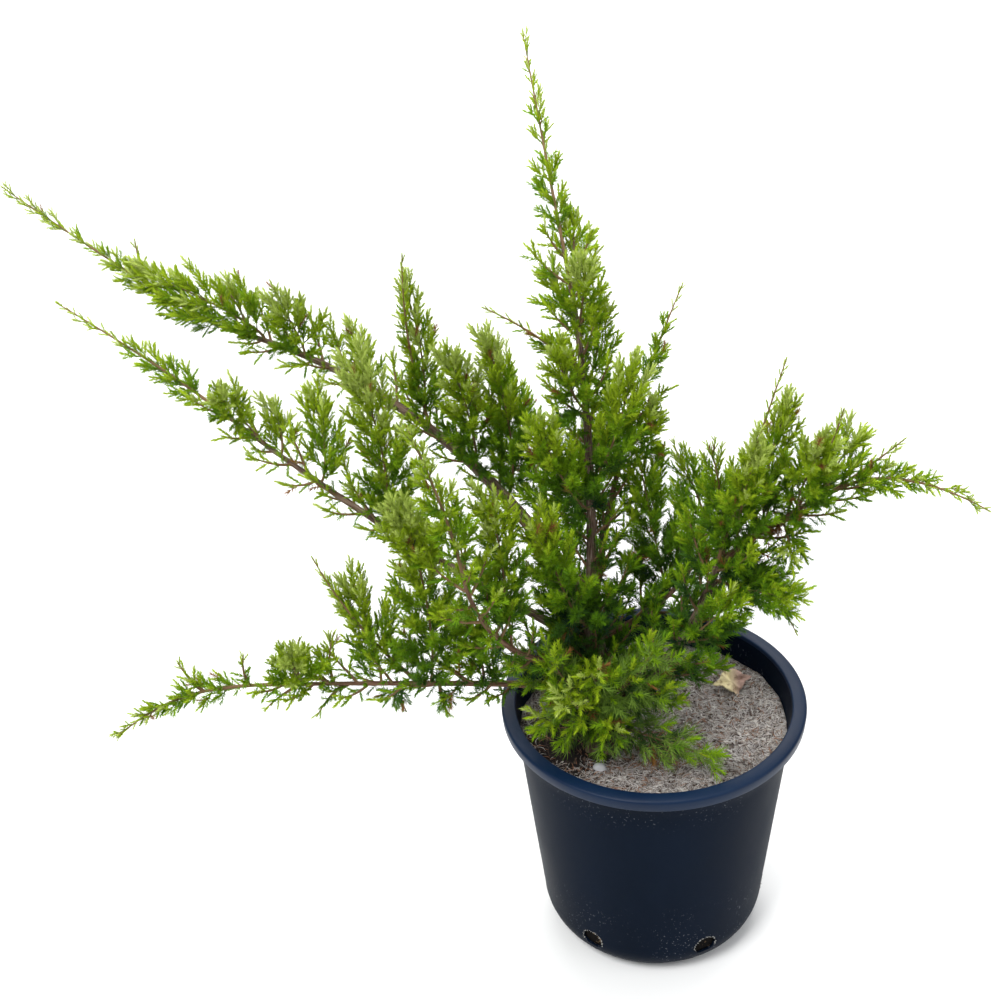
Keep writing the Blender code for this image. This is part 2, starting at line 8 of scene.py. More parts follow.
import json
import logging
import math
from collections.abc import Iterable, Sequence
from dataclasses import dataclass, field
from enum import Enum

import bmesh
import bpy
import numpy as np
from mathutils import Matrix, Vector, noise

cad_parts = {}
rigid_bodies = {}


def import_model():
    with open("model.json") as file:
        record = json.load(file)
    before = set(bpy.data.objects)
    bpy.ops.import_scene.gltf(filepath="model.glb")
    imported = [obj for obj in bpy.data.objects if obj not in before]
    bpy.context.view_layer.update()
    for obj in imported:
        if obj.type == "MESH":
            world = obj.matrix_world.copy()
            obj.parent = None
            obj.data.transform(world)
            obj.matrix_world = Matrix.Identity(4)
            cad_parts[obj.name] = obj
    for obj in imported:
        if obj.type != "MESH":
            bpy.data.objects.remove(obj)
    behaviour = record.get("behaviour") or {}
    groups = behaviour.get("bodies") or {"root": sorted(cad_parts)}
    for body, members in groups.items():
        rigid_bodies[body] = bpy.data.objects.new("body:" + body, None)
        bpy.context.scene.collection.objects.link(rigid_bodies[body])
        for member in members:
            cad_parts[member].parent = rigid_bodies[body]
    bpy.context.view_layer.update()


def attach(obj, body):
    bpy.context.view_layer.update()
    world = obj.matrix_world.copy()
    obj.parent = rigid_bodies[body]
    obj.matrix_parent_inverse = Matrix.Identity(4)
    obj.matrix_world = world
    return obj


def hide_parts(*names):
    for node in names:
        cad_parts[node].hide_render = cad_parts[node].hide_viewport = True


LOG = logging.getLogger("juniper")
Colour = tuple[float, float, float]
Spot = tuple[float, float]
Socket = bpy.types.NodeSocket

SEED = 7
GOLDEN_ANGLE = math.pi * (3 - math.sqrt(5))
ROOT = "root"

# Sizes shared by the pot, the soil and the plant.
POT_HEIGHT = 0.255
WALL_TOP_RADIUS = 0.129
WALL_FOOT_RADIUS = 0.1065
WALL_THICKNESS = 0.0022
FOOT_HEIGHT = 0.037
UNDERSIDE_RADIUS = 0.077
SOIL_TOP = 0.225
TRUNK_FOOT = (-0.046, -0.026, SOIL_TOP + 0.0003)
FORK = (-0.055, 0.0, 0.357)


class Slot(Enum):
    """The record's material slots."""

    POT = "pot_plastic"
    SOIL = "potting_mix"
    BARK = "bark"
    FOLIAGE = "foliage"


class Tint(Enum):
    """What the sprigs are dealt: the greens, lightest first, a dead brown, and the trailing greys.
    Their steps of lightness are partly the needles' own colour, paler at young tips, and partly
    painted light and shade.
    """

    TIP = "tip"
    BRIGHT = "bright"
    FRESH = "fresh"
    GREEN = "green"
    DEEP = "deep"
    SHADE = "shade"
    BROWN = "brown"
    GREY = "grey"
    DUSK = "dusk"


# Small tools


def way(heading: float, rise: float) -> np.ndarray:
    """A unit vector.

    Args:
        heading: degrees anticlockwise from +X.
        rise: degrees above level.

    Returns:
        The vector.
    """
    across = math.cos(math.radians(rise))
    turn = math.radians(heading)
    return np.array([across * math.cos(turn), across * math.sin(turn), math.sin(math.radians(rise))])


def unit(vector: np.ndarray) -> np.ndarray:
    """The vector, or each row of an array of them, at length one."""
    return vector / np.maximum(np.linalg.norm(vector, axis=-1, keepdims=True), 1e-12)


def along(path: np.ndarray, share: float) -> np.ndarray:
    """The point at a share of a path whose points are evenly spaced."""
    spot = min(max(share, 0.0), 1.0) * (len(path) - 1)
    first = min(int(spot), len(path) - 2)
    return path[first] + (path[first + 1] - path[first]) * (spot - first)


def heading_at(path: np.ndarray, share: float) -> np.ndarray:
    """The way that a path runs at a share of it."""
    return unit(along(path, share + 0.02) - along(path, share - 0.02))


def length_of(path: np.ndarray) -> float:
    """The length of a path of points."""
    return float(np.linalg.norm(np.diff(path, axis=0), axis=1).sum())


def aimed(direction: np.ndarray, turn: float, angle: float) -> np.ndarray:
    """A way at an angle from a direction.

    Args:
        direction: a unit vector.
        turn: how far round it, in radians.
        angle: how far off it, in radians.

    Returns:
        The unit vector.
    """
    aside = np.cross(direction, (0.31, 0.95, 0.12) if abs(direction[2]) > 0.8 else (0.0, 0.0, 1.0))
    aside = unit(aside)
    other = np.cross(direction, aside)
    out = aside * math.cos(turn) + other * math.sin(turn)
    return direction * math.cos(angle) + out * math.sin(angle)


def off_path(spots: np.ndarray, path: np.ndarray) -> np.ndarray:
    """The shortest distance from each of many spots to a path of points."""
    starts, runs = path[:-1], np.diff(path, axis=0)
    gaps = spots[:, None, :] - starts[None]
    share = np.einsum("ijk,jk->ij", gaps, runs) / np.einsum("jk,jk->j", runs, runs)
    gaps -= np.clip(share, 0, 1)[..., None] * runs
    return np.sqrt(np.einsum("ijk,ijk->ij", gaps, gaps).min(axis=1))


def off_paths(spots: np.ndarray, paths: np.ndarray) -> np.ndarray:
    """The shortest distance from each spot, a row, to each of many paths, a column."""
    starts, runs = paths[:, :-1], np.diff(paths, axis=1)
    gaps = spots[:, None, None, :] - starts[None]
    share = np.einsum("ipjk,pjk->ipj", gaps, runs) / np.einsum("pjk,pjk->pj", runs, runs)
    gaps -= np.clip(share, 0, 1)[..., None] * runs
    return np.sqrt(np.einsum("ipjk,ipjk->ipj", gaps, gaps).min(axis=2))


def rule_for(name: str) -> np.random.Generator:
    """The seeded random numbers of one piece."""
    return np.random.default_rng([SEED, *name.encode()])


def joined_mesh(name: str, points: np.ndarray, faces: np.ndarray) -> bpy.types.Mesh:
    """A mesh of triangles from arrays.

    Args:
        name: the mesh's name.
        points: an array of places, one a row.
        faces: an array of three point numbers, one triangle a row.

    Returns:
        The mesh.
    """
    mesh = bpy.data.meshes.new(name)
    mesh.vertices.add(len(points))
    mesh.vertices.foreach_set("co", points.astype(np.float32).ravel())
    mesh.loops.add(faces.size)
    mesh.loops.foreach_set("vertex_index", faces.astype(np.int32).ravel())
    mesh.polygons.add(len(faces))
    mesh.polygons.foreach_set("loop_start", np.arange(0, faces.size, 3, dtype=np.int32))
    mesh.update(calc_edges=True)
    return mesh


def tubes(paths: np.ndarray, radii: np.ndarray, sides: int) -> tuple[np.ndarray, np.ndarray]:
    """Many thin tapering tubes at once, open at both ends.

    Args:
        paths: places, by tube, then by ring.
        radii: the radius of each ring of each tube.
        sides: how many sides each tube has.

    Returns:
        The places and the triangles of one mesh.
    """
    count, rings = radii.shape
    forward = unit(np.gradient(paths, axis=1))
    pole = np.where(np.abs(forward[:, :1, 2:]) > 0.9, (1.0, 0.0, 0.0), (0.0, 0.0, 1.0))
    aside = unit(np.cross(forward, pole))
    other = np.cross(forward, aside)
    turn = np.arange(sides) * 2 * math.pi / sides
    out = aside[:, :, None] * np.cos(turn)[:, None] + other[:, :, None] * np.sin(turn)[:, None]
    points = paths[:, :, None] + out * radii[:, :, None, None]
    ring = np.arange(sides)
    after = (ring + 1) % sides
    low = np.arange(rings - 1)[:, None] * sides
    quads = np.stack([low + ring, low + sides + ring, low + sides + after, low + after], axis=-1)
    quads = quads.reshape(-1, 4)
    faces = np.concatenate([quads[:, [0, 1, 2]], quads[:, [0, 2, 3]]])
    faces = faces[None] + (np.arange(count) * rings * sides)[:, None, None]
    return points.reshape(-1, 3), faces.reshape(-1, 3)


def as_arrays(form: bmesh.types.BMesh) -> tuple[np.ndarray, np.ndarray]:
    """The points and triangles of a bmesh, which is used up."""
    bmesh.ops.triangulate(form, faces=form.faces)
    form.verts.index_update()
    points = np.array([tuple(vertex.co) for vertex in form.verts])
    faces = np.array([[vertex.index for vertex in face.verts] for face in form.faces])
    form.free()
    return points, faces


def shown(name: str, data: bpy.types.ID) -> bpy.types.Object:
    """An object in the scene that shows a mesh, a lamp or a camera."""
    made = bpy.data.objects.new(name, data)
    bpy.context.scene.collection.objects.link(made)
    return made


def piece_from(form: bmesh.types.BMesh | bpy.types.Mesh, name: str) -> bpy.types.Object:
    """An object in the scene from a bmesh, which is used up, or from a mesh."""
    if isinstance(form, bpy.types.Mesh):
        return shown(name, form)
    mesh = bpy.data.meshes.new(name)
    form.to_mesh(mesh)
    form.free()
    return shown(name, mesh)


def tube_piece(name: str, paths: np.ndarray, radii: np.ndarray, sides: int) -> bpy.types.Object:
    """An object in the scene of many thin tubes, as tubes makes them."""
    return piece_from(joined_mesh(name, *tubes(paths, radii, sides)), name)


def finish_piece(
    piece: bpy.types.Object,
    coats: Sequence[bpy.types.Material],
    replaced: Iterable[str] = (),
    smooth: bool = True,
) -> None:
    """Dresses a piece and ties it to the frame.

    Args:
        piece: the object.
        coats: its materials.
        replaced: the nodes that it stands for.
        smooth: whether its faces are shaded smooth.
    """
    for coat in coats:
        piece.data.materials.append(coat)
    if smooth:
        piece.data.shade_smooth()
    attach(piece, ROOT)
    nodes = tuple(replaced)
    if nodes:
        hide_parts(*nodes)
    LOG.info("%s: %d faces", piece.name, len(piece.data.polygons))


def evaluated_copy(obj: bpy.types.Object) -> bpy.types.Mesh:
    """The mesh of an object with its modifiers applied."""
    bpy.context.view_layer.update()
    graph = bpy.context.evaluated_depsgraph_get()
    return bpy.data.meshes.new_from_object(obj.evaluated_get(graph))


# Finishes


class Nodes:
    """A material's node tree, built step by step."""

    def __init__(self, name: str) -> None:
        """Starts a material with its Principled shader."""
        self.material = bpy.data.materials.new(name)
        self.material.use_nodes = True
        self.tree = self.material.node_tree
        self.shader = self.tree.nodes["Principled BSDF"]

    def add(self, kind: str, **values: object) -> bpy.types.Node:
        """Adds a node and sets its own settings and its sockets' numbers.

        Args:
            kind: the node's type.
            values: settings by name, or numbers for sockets, whose names take _ for a space.

        Returns:
            The node.
        """
        made = self.tree.nodes.new(kind)
        for name, value in values.items():
            if hasattr(made, name):
                setattr(made, name, value)
            else:
                made.inputs[name.replace("_", " ")].default_value = value
        return made

    def join(self, start: Socket, end: Socket) -> None:
        """Links one socket to another."""
        self.tree.links.new(start, end)

    def place(
        self,
        scale: Sequence[float] = (1, 1, 1),
        attribute: str = "",
        location: Sequence[float] = (0, 0, 0),
    ) -> Socket:
        """Coordinates for a pattern: the object's own, or a named attribute's, scaled and moved."""
        mapping = self.add("ShaderNodeMapping", Location=tuple(location), Scale=tuple(scale))
        if attribute:
            source = self.add("ShaderNodeAttribute", attribute_name=attribute).outputs["Vector"]
        else:
            source = self.add("ShaderNodeTexCoord").outputs["Object"]
        self.join(source, mapping.inputs["Vector"])
        return mapping.outputs["Vector"]

    def mottle(self, scale: float, detail: float, roughness: float, place: Socket | None = None) -> Socket:
        """A cloudy pattern's strength, on the object's own coordinates where none are given."""
        made = self.add("ShaderNodeTexNoise", Scale=scale, Detail=detail, Roughness=roughness)
        self.join(self.place() if place is None else place, made.inputs["Vector"])
        return made.outputs["Fac"]

    def fade(self, kind: str, place: Socket) -> Socket:
        """A gradient's strength: LINEAR along X, or SPHERICAL from the middle of its coordinates."""
        made = self.add("ShaderNodeTexGradient", gradient_type=kind)
        self.join(place, made.inputs["Vector"])
        return made.outputs["Fac"]

    def height(self) -> Socket:
        """How high a point lies in the object, in metres."""
        parts = self.add("ShaderNodeSeparateXYZ")
        self.join(self.place(), parts.inputs["Vector"])
        return parts.outputs["Z"]

    def times(self, one: Socket, other: Socket) -> Socket:
        """Two strengths multiplied."""
        made = self.add("ShaderNodeMath", operation="MULTIPLY")
        self.join(one, made.inputs[0])
        self.join(other, made.inputs[1])
        return made.outputs["Value"]

    def ramp(self, strength: Socket, stops: Sequence[tuple[float, float | Colour]]) -> Socket:
        """Turns a strength into a colour by stops of (place, colour), where a number is a grey."""
        made = self.add("ShaderNodeValToRGB")
        band = made.color_ramp
        while len(band.elements) < len(stops):
            band.elements.new(0.5)
        for element, (spot, colour) in zip(band.elements, stops):
            element.position = spot
            element.color = (*(colour if isinstance(colour, tuple) else (colour,) * 3), 1.0)
        self.join(strength, made.inputs["Fac"])
        return made.outputs["Color"]

    def blend(self, strength: Socket, under: Socket, over: Socket | Colour) -> Socket:
        """Lays one colour over another by a strength."""
        made = self.add("ShaderNodeMix", data_type="RGBA")
        self.join(strength, made.inputs["Factor"])
        lower, upper = (socket for socket in made.inputs if socket.type == "RGBA")
        self.join(under, lower)
        if isinstance(over, Socket):
            self.join(over, upper)
        else:
            upper.default_value = (*over, 1.0)
        return next(socket for socket in made.outputs if socket.type == "RGBA")

    def paint(self, colour: Socket) -> None:
        """Gives the surface its colour."""
        self.join(colour, self.shader.inputs["Base Color"])

    def emboss(self, height: Socket, strength: float, distance: float) -> None:
        """Raises the surface by a height."""
        made = self.add("ShaderNodeBump", Strength=strength, Distance=distance)
        self.join(height, made.inputs["Height"])
        self.join(made.outputs["Normal"], self.shader.inputs["Normal"])

    def settle(self, **values: float) -> bpy.types.Material:
        """Sets numbers on the shader's own sockets and gives the material."""
        for name, value in values.items():
            self.shader.inputs[name.replace("_", " ")].default_value = value
        return self.material


@dataclass(frozen=True)
class PotPlastic:
    """Near-black plastic with a blue cast, and dust that clings to its foot and under its lip."""

    name: str = "pot_plastic_scuffed"
    body: Colour = (0.0023, 0.0054, 0.0122)
    worn: Colour = (0.0040, 0.0083, 0.0182)
    dust: Colour = (0.15, 0.16, 0.18)
    shine: float = 0.02
    dust_levels: tuple[tuple[float, float], ...] = (
        (0.0, 1.0),
        (0.045, 0.9),
        (0.10, 0.0),
        (0.20, 0.0),
        (0.235, 0.8),
        (0.25, 0.0),
    )

    def material(self) -> bpy.types.Material:
        """Makes the material."""
        nodes = Nodes(self.name)
        broad = nodes.mottle(9.0, 4.0, 0.6, nodes.place((1, 1, 0.5)))
        specks = nodes.mottle(520.0, 2.0, 0.5, nodes.place((1, 1, 0.7)))
        patches = nodes.mottle(22.0, 3.0, 0.65, nodes.place((1, 1, 0.8)))
        few = nodes.ramp(specks, [(0.645, 0.0), (0.70, 1.0)])
        where = nodes.times(few, nodes.ramp(patches, [(0.46, 0.0), (0.60, 0.8)]))
        dusty = nodes.times(where, nodes.ramp(nodes.height(), self.dust_levels))
        base = nodes.ramp(broad, [(0.35, self.body), (0.75, self.worn)])
        nodes.paint(nodes.blend(dusty, base, self.dust))
        rough = nodes.ramp(broad, [(0.3, 0.34), (0.7, 0.50)])
        nodes.join(rough, nodes.shader.inputs["Roughness"])
        nodes.emboss(nodes.mottle(900.0, 3.0, 0.6), 0.12, 0.0004)
        return nodes.settle(Specular_IOR_Level=self.shine)


@dataclass(frozen=True)
class MixEarth:
    """Dry bark and peat mix: grey-tan on top, painted shade in the hollow at the left, and dark down the
    sides.

    The hollow's painted shade is a ball in the coordinates that hollow_scale and hollow_shift
    give. Above surface_foot, in metres, the mix is dry.
    """

    dark: Colour = (0.030, 0.023, 0.021)
    middle: Colour = (0.190, 0.165, 0.152)
    pale: Colour = (0.42, 0.40, 0.385)
    hollow_shade_colour: Colour = (0.012, 0.008, 0.007)
    deep: Colour = (0.004, 0.003, 0.0025)
    fleck: Colour = (0.22, 0.15, 0.085)
    surface_foot: float = 0.205
    hollow_scale: tuple[float, float, float] = (20.0, 16.0, 22.0)
    hollow_shift: tuple[float, float, float] = (1.56, 0.32, -5.0)

    def material(self) -> bpy.types.Material:
        """Makes the material."""
        nodes = Nodes("potting_mix_dry")
        coarse = nodes.mottle(150.0, 7.0, 0.72)
        dry = nodes.ramp(coarse, [(0.34, self.dark), (0.46, self.middle), (0.62, self.pale)])
        # Painted shade: the hollow at the left, under the boughs, is darkened to a near-black brown.
        hollow = nodes.fade("SPHERICAL", nodes.place(self.hollow_scale, location=self.hollow_shift))
        hollow_shade_mask = nodes.ramp(hollow, [(0.02, 0.0), (0.24, 0.97)])
        inner = nodes.mottle(110.0, 4.0, 0.6)
        buried = nodes.ramp(inner, [(0.56, self.deep), (0.64, self.fleck)])
        top = nodes.ramp(nodes.height(), [(self.surface_foot, 0.0), (self.surface_foot + 0.004, 1.0)])
        nodes.paint(nodes.blend(top, buried, nodes.blend(hollow_shade_mask, dry, self.hollow_shade_colour)))
        nodes.emboss(nodes.mottle(420.0, 6.0, 0.75), 1.0, 0.003)
        return nodes.settle(Roughness=0.95, Specular_IOR_Level=0.1)


@dataclass(frozen=True)
class BarkSkin:
    """Flaking grey-brown bark, whose pattern runs along the limb."""

    name: str = "bark_flaking"
    crack: Colour = (0.035, 0.022, 0.016)
    strip: Colour = (0.15, 0.095, 0.066)
    flake: Colour = (0.29, 0.225, 0.18)

    def material(self) -> bpy.types.Material:
        """Makes the material."""
        nodes = Nodes(self.name)
        strands = nodes.mottle(420.0, 6.0, 0.65, nodes.place((1, 1, 0.16), "grain"))
        broad = nodes.mottle(60.0, 3.0, 0.6, nodes.place((1, 1, 0.5), "grain"))
        colour = nodes.ramp(strands, [(0.34, self.crack), (0.50, self.strip), (0.68, self.flake)])
        shade = nodes.ramp(broad, [(0.4, 0.0), (0.72, 0.6)])
        nodes.paint(nodes.blend(shade, colour, self.crack))
        nodes.emboss(strands, 0.8, 0.0015)
        return nodes.settle(Roughness=0.88, Specular_IOR_Level=0.2)


@dataclass(frozen=True)
class PlainCoat:
    """One plain colour, for small repeated pieces that are dealt their shades."""

    name: str
    colour: Colour
    roughness: float = 0.6
    shine: float = 0.3

    def material(self) -> bpy.types.Material:
        """Makes the material."""
        nodes = Nodes(self.name)
        nodes.shader.inputs["Base Color"].default_value = (*self.colour, 1.0)
        return nodes.settle(Roughness=self.roughness, Specular_IOR_Level=self.shine)


@dataclass(frozen=True)
class DriedLeaf:
    """A dead leaf: yellowed cream at its left, turning a dusty pink-brown to the right."""

    cream: Colour = (0.60, 0.52, 0.30)
    brown: Colour = (0.34, 0.225, 0.185)
    vein: Colour = (0.16, 0.095, 0.06)
    left_edge: float = 0.0671875
    spread: float = 0.03125

    def material(self) -> bpy.types.Material:
        """Makes the material."""
        nodes = Nodes("leaf_dried")
        scale = 1 / self.spread
        across = nodes.place((scale, scale, scale), location=(-self.left_edge * scale, 0.0, 0.0))
        colour = nodes.ramp(nodes.fade("LINEAR", across), [(0.30, self.cream), (0.62, self.brown)])
        spots = nodes.mottle(170.0, 5.0, 0.65)
        dark = nodes.ramp(spots, [(0.50, 0.0), (0.66, 0.8)])
        nodes.paint(nodes.blend(dark, colour, self.vein))
        nodes.emboss(spots, 0.5, 0.001)
        return nodes.settle(Roughness=0.8, Specular_IOR_Level=0.2)


# The greens from TIP to SHADE, and GREY with DUSK, are partly the needles' own colours and partly lit and
# shaded copies of one green: painted light and shade.
NEEDLE_COLOURS = {
    Tint.TIP: (0.47, 0.58, 0.12),
    Tint.BRIGHT: (0.340, 0.475, 0.018),
    Tint.FRESH: (0.205, 0.360, 0.010),
    Tint.GREEN: (0.108, 0.236, 0.009),
    Tint.DEEP: (0.056, 0.140, 0.016),
    Tint.SHADE: (0.026, 0.072, 0.026),
    Tint.BROWN: (0.25, 0.12, 0.035),
    Tint.GREY: (0.175, 0.290, 0.042),
    Tint.DUSK: (0.050, 0.112, 0.022),
}


# The pot and what it holds


def foot_curve(inset: float, steps: int) -> list[tuple[float, float]]:
    """The rounded foot from the wall down to the underside, as (radius, height), moved in by inset."""
    across = WALL_FOOT_RADIUS - UNDERSIDE_RADIUS
    points = []
    for i in range(steps + 1):
        turn = math.pi / 2 * i / steps
        radius = UNDERSIDE_RADIUS + (across - inset) * math.cos(turn)
        points.append((radius, FOOT_HEIGHT * (1 - math.sin(turn)) + inset * math.sin(turn)))
    return points


def wall_radius(height: float) -> float:
    """The wall's outer radius at a height above the foot."""
    share = (height - FOOT_HEIGHT) / (POT_HEIGHT - FOOT_HEIGHT)
    return WALL_FOOT_RADIUS + share * (WALL_TOP_RADIUS - WALL_FOOT_RADIUS)


def foot_radius(height: float) -> float:
    """The outer radius of the foot or the wall at a height."""
    if height >= FOOT_HEIGHT:
        return wall_radius(height)
    rise = 1 - max(0.0, height) / FOOT_HEIGHT
    return UNDERSIDE_RADIUS + (WALL_FOOT_RADIUS - UNDERSIDE_RADIUS) * math.sqrt(1 - rise * rise)


def bell(x: float, y: float, spot: Spot, spread: Spot) -> float:
    """A smooth bump of height one over a spot, with its spread each way."""
    return math.exp(-(((x - spot[0]) / spread[0]) ** 2) - ((y - spot[1]) / spread[1]) ** 2)


def spun(profile: Sequence[tuple[float, float]], steps: int) -> bmesh.types.BMesh:
    """A form turned about Z from (radius, height) points."""
    form = bmesh.new()
    points = [form.verts.new((radius, 0.0, height)) for radius, height in profile]
    edges = [form.edges.new(pair) for pair in zip(points, points[1:])]
    bmesh.ops.spin(
        form,
        geom=points + edges,
        axis=(0, 0, 1),
        cent=(0, 0, 0),
        steps=steps,
        angle=2 * math.pi,
        use_merge=True,
    )
    bmesh.ops.remove_doubles(form, verts=form.verts, dist=0.00002)
    bmesh.ops.recalc_face_normals(form, faces=form.faces)
    return form


@dataclass
class NurseryPot:
    """The blow-moulded pot: a tapering wall, a lip turned out and down, and torn drainage holes.

    Each hole has pale burrs round its edge, from burr_from degrees over burr_span degrees.
    """

    lip_radius: float = 0.140
    lip_drop: float = 0.011
    lip_thickness: float = 0.0024
    ledge_height: float = 0.2385
    ledge_depth: float = 0.0011
    foot_ridge: float = 0.0007
    steps: int = 168
    drain_count: int = 6
    drain_first: float = math.radians(-128)
    drain_height: float = 0.033
    drain_width: float = 0.022
    drain_reach: float = 0.104
    drain_depth: float = 0.030
    drain_sides: int = 20
    burr_count: int = 26
    burr_from: float = -25
    burr_span: float = 230
    burr_width: float = 0.0009
    wall_coat: PotPlastic = PotPlastic()
    # The lip takes the same plastic as the wall, painted lighter and bluer: a painted sheen along the rim.
    lip_painted_sheen_coat: PotPlastic = PotPlastic(
        "pot_plastic_lip_painted_sheen", (0.002, 0.010, 0.031), (0.004, 0.016, 0.044), shine=0.13
    )
    torn_coat: PlainCoat = PlainCoat("pot_plastic_torn", (0.20, 0.20, 0.19))

    def rim_profile(self) -> list[tuple[float, float]]:
        """The lip from its inner edge over to the wall beneath it."""
        inner = WALL_TOP_RADIUS - WALL_THICKNESS
        top, outer = POT_HEIGHT, self.lip_radius
        skirt, under = top - self.lip_drop, top - self.lip_thickness
        points = [(inner, top - 0.004), (inner, top - 0.0012), (inner + 0.0005, top - 0.0003)]
        points += [(inner + 0.0015, top), (outer - 0.0022, top), (outer - 0.0008, top - 0.0004)]
        points += [(outer - 0.0001, top - 0.0014), (outer, top - 0.003)]
        points += [(outer - 0.0006, skirt + 0.0008), (outer - 0.0010, skirt + 0.0001)]
        points += [(outer - 0.0018, skirt), (outer - 0.0028, skirt + 0.0003)]
        points += [(outer - 0.0032, skirt + 0.001), (outer - 0.0030, under - 0.001)]
        points += [(outer - 0.0042, under), (WALL_TOP_RADIUS + 0.001, under)]
        return points + [(WALL_TOP_RADIUS, under - 0.001)]

    def wall_profile(self) -> list[tuple[float, float]]:
        """The outer wall, with the faint ledge below the lip."""
        low, high = self.ledge_height - 0.0012, self.ledge_height
        ledge = wall_radius(low)
        points = [(wall_radius(high + 0.003), high + 0.003), (wall_radius(high), high)]
        points += [(ledge + self.ledge_depth, low + 0.0006), (ledge + self.ledge_depth * 0.8, low - 0.0014)]
        points += [(wall_radius(low - 0.004), low - 0.004)]
        heights = np.linspace(low - 0.02, FOOT_HEIGHT + 0.004, 12)
        return points + [(wall_radius(height), float(height)) for height in heights]

    def profile(self) -> list[tuple[float, float]]:
        """The whole section, from the middle of the floor inside to the middle of the underside."""
        inside = [(0.0, 0.003)] + foot_curve(WALL_THICKNESS, 6)[::-1]
        heights = np.linspace(FOOT_HEIGHT + 0.02, POT_HEIGHT - 0.01, 9)
        inside += [(wall_radius(height) - WALL_THICKNESS, float(height)) for height in heights]
        under = [(UNDERSIDE_RADIUS - 0.006, 0.0), (UNDERSIDE_RADIUS - 0.009, self.foot_ridge)]
        under += [(0.03, self.foot_ridge), (0.0, self.foot_ridge)]
        return inside + self.rim_profile() + self.wall_profile() + foot_curve(0.0, 9) + under

    def drain_turn(self, number: int) -> float:
        """How far round the pot a drainage hole lies, in radians."""
        return self.drain_first + 2 * math.pi * number / self.drain_count

    def drain_cutter(self, number: int) -> bpy.types.Object:
        """A ragged plug that cuts one drainage hole."""
        rule = rule_for(f"drain_{number}")
        sides, half = self.drain_sides, self.drain_width / 2
        form = bmesh.new()
        bmesh.ops.create_cone(
            form, cap_ends=True, segments=sides, radius1=half, radius2=half, depth=self.drain_depth
        )
        ragged = rule.uniform(0.88, 1.10, sides)
        for vertex in form.verts:
            spoke = int(round(math.atan2(vertex.co.y, vertex.co.x) / (2 * math.pi / sides))) % sides
            vertex.co.x *= ragged[spoke]
            vertex.co.y *= ragged[spoke]
        bmesh.ops.rotate(form, verts=form.verts, matrix=Matrix.Rotation(math.pi / 2, 3, "Y"))
        bmesh.ops.translate(form, verts=form.verts, vec=(self.drain_reach, 0, self.drain_height))
        bmesh.ops.rotate(form, verts=form.verts, matrix=Matrix.Rotation(self.drain_turn(number), 3, "Z"))
        bmesh.ops.recalc_face_normals(form, faces=form.faces)
        return piece_from(form, f"drain_cutter_{number + 1}")

    def torn_edges(self, rule: np.random.Generator) -> bmesh.types.BMesh:
        """Ragged pale burrs round the upper edge of each drainage hole."""
        form = bmesh.new()
        for number in range(self.drain_count):
            for step in range(self.burr_count):
                around = math.radians(self.burr_from + self.burr_span * step / (self.burr_count - 1))
                around += rule.uniform(-0.06, 0.06)
                half = self.drain_width / 2 * rule.uniform(0.93, 1.05)
                height = self.drain_height + half * math.sin(around)
                aside = self.drain_turn(number) + half * math.cos(around) / WALL_FOOT_RADIUS
                radius = foot_radius(height) + 0.0002
                burr = Matrix.Translation((radius * math.cos(aside), radius * math.sin(aside), height))
                size = self.burr_width * rule.uniform(0.35, 1.0)
                shape = Matrix.Diagonal((size, size * 0.8, size * rule.uniform(0.6, 1.3), 1.0))
                bmesh.ops.create_icosphere(form, subdivisions=1, radius=1.0, matrix=burr @ shape)
        return form

    def build(self) -> None:
        """Makes the pot and puts it in the place of its plain solid."""
        blank = piece_from(spun(self.profile(), self.steps), "pot_blank")
        cutters = [self.drain_cutter(number) for number in range(self.drain_count)]
        for cutter in cutters:
            cut = blank.modifiers.new(cutter.name, "BOOLEAN")
            cut.operation = "DIFFERENCE"
            cut.object = cutter
        pot = piece_from(evaluated_copy(blank), "nursery_pot")
        for helper in [blank, *cutters]:
            bpy.data.objects.remove(helper)
        pot.data.materials.clear()
        finish_piece(pot, [self.wall_coat.material(), self.lip_painted_sheen_coat.material()], ["pot"])
        # The lip's top and outer faces take the lighter, bluer coat, which paints the rim's sheen.
        under_lip = POT_HEIGHT - self.lip_drop - 0.002
        for face in pot.data.polygons:
            outside = math.hypot(face.center.x, face.center.y) > WALL_TOP_RADIUS + 0.0005
            on_top = face.center.z > POT_HEIGHT - 0.003
            face.material_index = int(on_top or (outside and face.center.z > under_lip))
        pot.data.set_sharp_from_angle(angle=math.radians(50))
        torn = piece_from(self.torn_edges(rule_for("torn")), "nursery_pot_torn_edges")
        finish_piece(torn, [self.torn_coat.material()], smooth=False)


